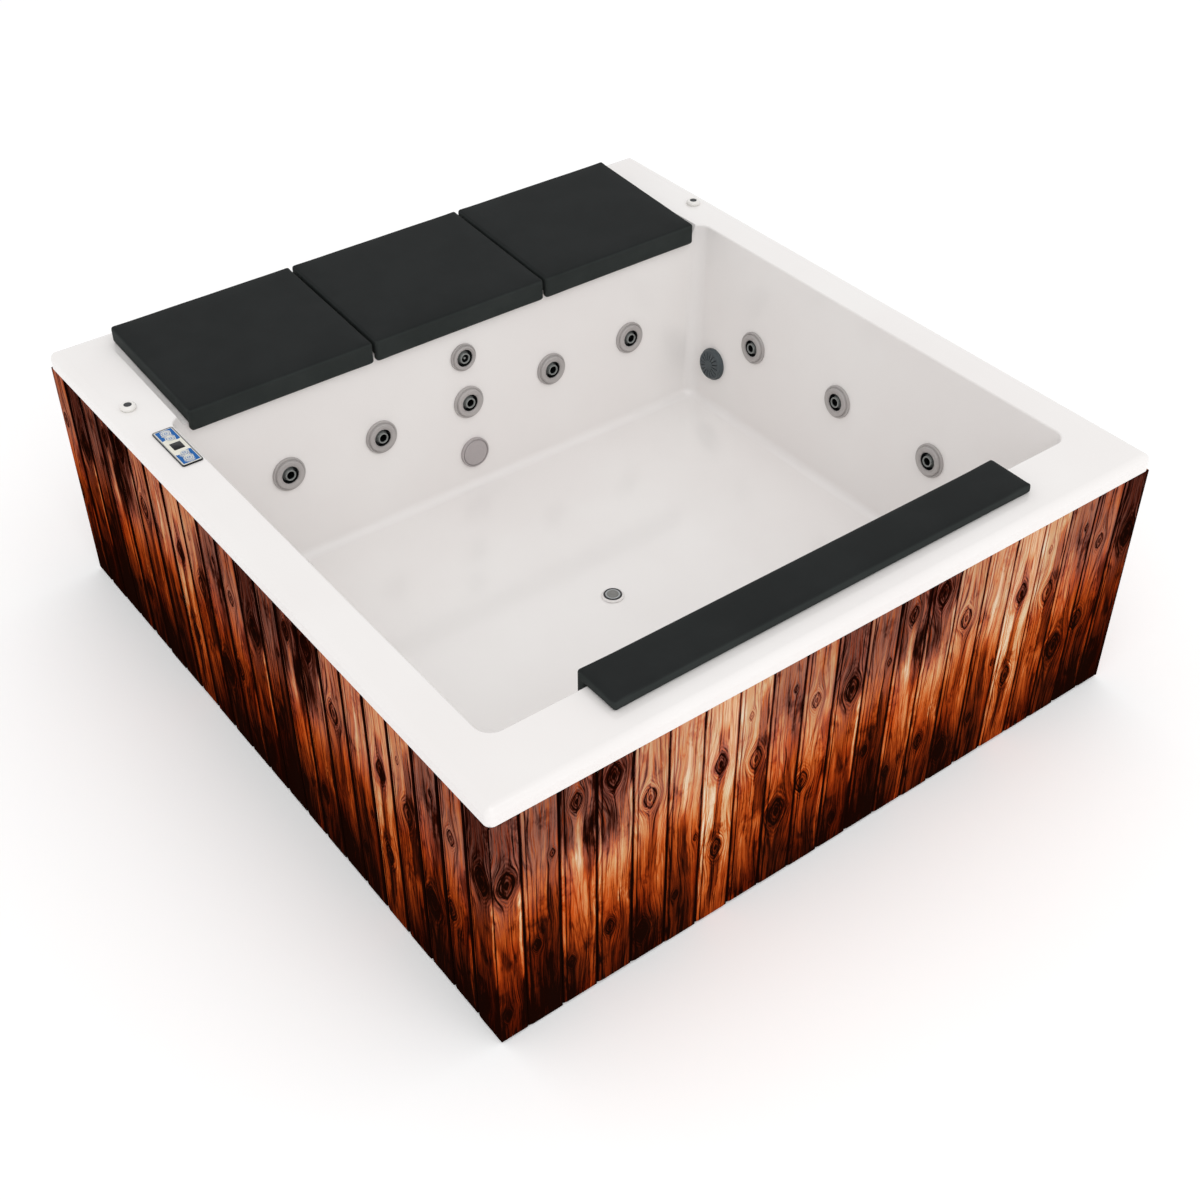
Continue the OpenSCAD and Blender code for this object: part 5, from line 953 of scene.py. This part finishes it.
def build_suction_covers():
    """Domed covers with slots between ribs, a plain hub and a stepped rim."""
    rim = [(46.5, 0.3), (48, 0.3), (48, 6)] + arc(46.2, 6.2, 1.8, 0, 70, 3)
    rim += [(44.6, 9.5), (42.5, 15.6), (40.4, 17.1), (38.6, 17.3), (38.6, 14), (44, 7), (45, 4.5),
            (46.5, 4.5)]
    hub = [(0.2, 16.6), (15.6, 16.6), (15.6, 18.6)] + arc(14, 18.3, 1.7, 0, 85, 3)
    hub += [(10, 19.6), (0.2, 19.9)]
    rib = [[(x, -y, low), (x, y, low), (x, y - 0.2, high), (x, 0.2 - y, high)]
           for x, y, low, high in ((14.6, 1.9, 14.8, 19.2), (27, 4.2, 14.2, 18.6),
                                   (39.6, 6.7, 13.6, 17.2))]
    for side, place in zip(("right", "left"), SUCTIONS):
        shape = Shape()
        shape.spin(rim, place, 72, loop=True)
        shape.spin(hub, place, 48)
        for turn in around(place, COVER_RIBS, math.pi / COVER_RIBS):
            shape.loft(rib, turn)
        # painted shade: a dark disc closes the cover under its ribs, so the slots read dark
        shape.spin(tube(0.3, 41, 11.2, 12.2), place, 48, 1)
        names = ["suction_covers"] if side == "right" else []
        shape.make("suction_cover_" + side, [SLATE, DARK], "cover_grey", "tub", names)


def build_drain():
    at = Matrix.Translation((0, DRAIN_Y, FLOOR_Z))
    ring, plug = Shape(), Shape()
    outer = [(27.4, 1.5), (29.4, 1.5)] + arc(28, 2.2, 2, -20, 80, 4) + [(27.4, 4)]
    inner = [(24.2, 1.6), (27.3, 1.6)] + arc(26.0, 5.6, 1.3, 0, 170, 5) + [(24.2, 4.2)]
    bowl = [(17.5, 1.6), (24.1, 1.6), (24.1, 4.2), (17.5, 4)]
    for outline, slot in ((outer, 1), (inner, 1), (bowl, 0)):
        ring.spin(outline, at, 64, slot, loop=True)
    for turn in around(at, DRAIN_ARMS):
        ring.loft([wedge(3.9, 2, 18, 2, z) for z in (-30, -26)], turn)
    ring.spin(tube(17.5, 21, -42, 4), at, 48, loop=True)
    ring.make("drain_ring", [CHROME, WHITE], "drain_metal", "tub", ["drain_flange"])
    seat = Matrix.Translation((0, DRAIN_Y, FLOOR_Z + PLUG_SEAT))
    plug.spin([(0.2, -46), (4, -46), (4, 0), (15.6, 0), (15.6, 3.3), (14.8, 4.1), (9, 4.35),
               (8.5, 4.1), (8, 4.4), (0.2, 4.5)], seat, 64)
    # a dark rim and a hollow pale groove round the grey disc
    plug.spin([(19.8, 0.1), (22.8, 0.1), (23.5, 0.8)] + arc(21.9, 2.4, 1.6, 0, 90, 4)
              + [(20.8, 4), (19.8, 3.2)], seat, 64, 1, loop=True)
    plug.spin([(15.7, 0.1), (19.7, 0.1), (19.7, 2.4), (18.6, 1.6), (17.2, 1.5), (16.2, 2.1),
               (15.7, 3.1)], seat, 64, 2, loop=True)
    plug.make("drain_plug_disc", [PLUG, CHROME, TRIM], "plug_grey", "drain_plug", ["drain_plug"])


# Control panel and air knobs

PANEL_HALF_X, PANEL_HALF_Y, PANEL_CORNER, KEY_RING, KEY_ARC = 27, 84, 6, (10.4, 12.6), (14.2, 15.6)
# Width, length and corner radius of the face, the display's surround and the display
FACE_PLATE, SURROUND, DISPLAY = (47.4, 161.4, 2.7), (38, 42, 3), (28, 31, 1.5)
FIELD_X, FIELD_Y, FIELD_WAVE_Y, FIELD_WAVE, FIELD_STEPS, ARC_STEPS = 21.4, 78, 31, 5.5, 20, 14


def centred(x, y, r, z):
    return round_rect(x, -y, y, r, z, 6)


def plate(shape, size, levels, place, slot=0):
    """A rounded plate lofted through (inset, height) levels."""
    w, l, r = size
    shape.loft([centred(w / 2 - inset, l / 2 - inset, max(r - inset, 0.3), z)
                for inset, z in levels], place, slot)


def sector(shape, centre_y, radii, angles, heights, place, slot):
    """A flat raised arc between two radii."""
    (r0, r1), (a0, a1), (z0, z1) = radii, angles, heights
    rings = []
    for k in range(ARC_STEPS + 1):
        a = math.radians(a0 + (a1 - a0) * k / ARC_STEPS)
        rings.append([(r * math.cos(a), centre_y + r * math.sin(a), z)
                      for r, z in tube(r0, r1, z0, z1)])
    shape.loft(rings, place, slot)


def panel_fields(face, at):
    """A blue field with a wavy inner edge at each end, and rings and arcs round the keys."""
    for side in (1, -1):
        rings = []
        for k in range(FIELD_STEPS + 1):
            t = k / FIELD_STEPS
            x = -FIELD_X + 2 * FIELD_X * t
            inner = FIELD_WAVE_Y + FIELD_WAVE * math.sin(math.pi * (t * 1.6 + 0.2))
            rings.append([(x, side * y, z) for y, z in tube(inner, FIELD_Y, 4.0, 4.32)])
        face.loft(rings, at, 1)
        for y in KEYS_Y[2:]:
            sector(face, side * y, KEY_RING, (0, 360), (4.0, 4.6), at, 0)
            for angles in ((200, 320), (20, 140)):
                sector(face, side * y, KEY_ARC, angles, (4.0, 4.5), at, 0)


def build_panel():
    at = Matrix.Translation((PANEL_X, PANEL_Y, RIM_Z))
    bezel, face, screen = Shape(), Shape(), Shape()
    bezel.loft([centred(PANEL_HALF_X - i, PANEL_HALF_Y - i, PANEL_CORNER - i * 0.6, z) for i, z in (
        (0.6, 0), (0, 0.6), (0, 3.2), (0.4, 4.0), (1.2, 4.5), (2.6, 4.5), (3, 4.1), (3, 0.3))]
        + [centred(18.9, 73.9, 1, -1), centred(19, 74, 1, -26)], at)
    bezel.make("panel_bezel", [BEZEL], "dark_plastic", "tub", ["panel_frame"])
    line = [centred(25.6 - i, 82.6 - i, 4.8 - i * 0.8, z)
            for i, z in ((0, 4.45), (0, 4.75), (1, 4.75), (1, 4.45))]
    Shape().loft(line, at, loop=True).make("panel_edge_line", [TRIM], "jet_grey", "tub")
    plate(face, FACE_PLATE, ((0, 0.5), (0, 3.6), (0.5, 4.1)), at)
    panel_fields(face, at)
    face.make("panel_face_plate", [CREAM, BLUE], "panel_cream", "tub", ["panel_face"])
    plate(screen, SURROUND, ((0, 3.9), (0, 4.3), (0.5, 4.5)), at, 1)
    plate(screen, DISPLAY, ((0, 4.4), (0, 4.7), (0.5, 4.9)), at)
    screen.make("panel_screen", [GLASS, CREAM], "display", "tub", ["panel_display"])
    for number, y in enumerate(KEYS_Y, 1):
        key, centre = Shape(), Matrix.Translation((PANEL_X, PANEL_Y + y, RIM_Z))
        top = arc(7.7, 4.9, 1.1, 0, 90, 4) + [(6.4, 5.95), (5.8, 5.6), (0.2, 5.4)]
        key.spin([(0.2, -2), (3, -2), (3, 2.4), (8.9, 2.4), (8.9, 4.6)] + top, centre, 40)
        sector(key, 0, (2.6, 3.9), (110, 430), (5.2, 5.62), centre, 1)
        node = "panel_button_%d" % number
        key.make(node + "_key", [KEY, BLUE], "key_blue", node, [node])


def build_knobs():
    for side, sign in (("left", -1), ("right", 1)):
        at = Matrix.Translation((sign * KNOB_X, KNOB_Y, RIM_Z))
        knob = Shape()
        dome = [(0.2, -27), (6, -27), (6, 1.8), (18.6, 1.8), (19.8, 2.6), (20, 4.4)]
        dome += arc(13.2, 5.2, 6.8, 4, 84, 8)
        knob.spin(dome + [(11, 11.9), (10.4, 11.6), (10.1, 10.6), (0.2, 10.5)], at, 64)
        knob.spin([(0.2, 10.4), (9.7, 10.4), (9.7, 11.3)] + arc(9, 11.1, 0.7, 0, 90, 3)
                  + [(4, 11.95), (0.2, 12)], at, 48, 1)
        # raised mark that shows how far the knob is turned
        knob.loft([[(x, -0.9, z), (x, 0.9, z), (x, 0.6, z + 1.2), (x, -0.6, z + 1.2)]
                   for x, z in ((11.4, 10.9), (15.5, 9.9), (18.2, 6.6))], at, 1)
        node = "air_knob_" + side
        knob.make(node + "_dome", [KNOB, CAP], "knob_white", node, [node])
        foot = Shape()
        foot.spin([(6.2, 0), (18, 0), (18, 0.9), (17.4, 1.5), (6.2, 1.5)], at, 48, loop=True)
        foot.make("air_flange_" + side, [PIPE], "pipe_white", "tub")


# Pieces that keep their construction mesh

FRAME_LOOKS = (
    (DARK, "base_pan jet_bodies wall_nuts lamp_body pump_wet_end cable_gland pad_pegs"),
    (ZINC, "levelling_feet frame_bolts"),
    (PINE, "corner_posts top_rails cladding_rails basin_bearers"),
    (PIPE, "suction_bodies drain_waste air_valve_bodies suction_pipe water_manifold"),
    (PIPE, "air_manifold heater_pipes"),
    (RUBBER, "wall_gaskets"), (PAINT, "pump_motor"), (STEEL, "pump_rotor heater"),
    (BOX, "control_box"))


def dress_frame_parts():
    for material, names in FRAME_LOOKS:
        for name in names.split():
            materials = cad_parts[name].data.materials
            materials.clear()
            materials.append(material)


# Floor, light and camera

TARGET = Vector((0.0969, 0.0342, 0.0))
AZIMUTH, ELEVATION, DISTANCE, LENS_MM, FILM_MM = -37.15, 40.081, 4.6626, 50.32, 36
KEY_AZIMUTH, KEY_ELEVATION, KEY_DISTANCE, KEY_SIZE, KEY_POWER = -18, 50, 12.0, 13.0, 350
AMBIENT, FLOOR_GLOW, FLOOR_HALF = 0.83, 0.12, 45.0


def aim(obj, azimuth, elevation, distance):
    """Places a light or the camera round the target, angles in degrees, and turns it there."""
    azimuth, elevation = math.radians(azimuth), math.radians(elevation)
    way = Vector((math.sin(azimuth) * math.cos(elevation), -math.cos(azimuth) * math.cos(elevation),
                  math.sin(elevation)))
    obj.location = TARGET + way * distance
    obj.rotation_euler = way.to_track_quat("Z", "Y").to_euler()


def build_stage():
    net = Net("pale_floor")
    patch = net.noise(net.place(), 1.3, 2.0)
    base = net.mix(patch, (1.0, 1.0, 1.0, 1.0), (0.985, 0.985, 0.985, 1.0))
    net.finish(Base_Color=base, Roughness=0.9, Specular_IOR_Level=0.0, Emission_Strength=FLOOR_GLOW,
               Emission_Color=(1.0, 1.0, 1.0, 1.0))
    mesh = bpy.data.meshes.new("floor")
    mesh.from_pydata(wedge(-FLOOR_HALF, FLOOR_HALF, FLOOR_HALF, FLOOR_HALF, 0), [], [(0, 1, 2, 3)])
    mesh.materials.append(net.owner)
    floor = place_object("studio_floor", mesh)


def build_light():
    """A white surround that is seen brighter than it lights, and one large lamp."""
    world = bpy.data.worlds.new("studio")
    bpy.context.scene.world = world
    net = Net(world)
    seen = net.node("LightPath", output="Is Camera Ray")
    for ray in ("Is Glossy Ray", "Is Transmission Ray"):
        seen = net.math("MAXIMUM", seen, net.node("LightPath", output=ray))
    unseen, shown = [net.node("Background", {"Color": (1, 1, 1, 1), "Strength": strength})
                     for strength in (AMBIENT, 1.0)]
    net.put(net.tree.nodes["World Output"].inputs[0],
            net.node("MixShader", {0: seen, 1: unseen, 2: shown}))
    net.tree.nodes.remove(net.tree.nodes["Background"])
    lamp = bpy.data.lights.new("key", "AREA")
    lamp.shape, lamp.size, lamp.energy = "DISK", KEY_SIZE, KEY_POWER
    aim(place_object("key", lamp), KEY_AZIMUTH, KEY_ELEVATION, KEY_DISTANCE)
    bpy.context.scene.view_settings.view_transform = "Standard"


def build_camera():
    data = bpy.data.cameras.new("camera")
    data.lens, data.sensor_width = LENS_MM, FILM_MM
    camera = place_object("camera", data)
    aim(camera, AZIMUTH, ELEVATION, DISTANCE)
    bpy.context.scene.camera = camera


for build in (build_camera, build_shell, build_skirt, build_pads, build_jets, build_nozzles,
              build_lamp, build_suction_covers, build_drain, build_panel, build_knobs,
              dress_frame_parts, build_light, build_stage):
    build()
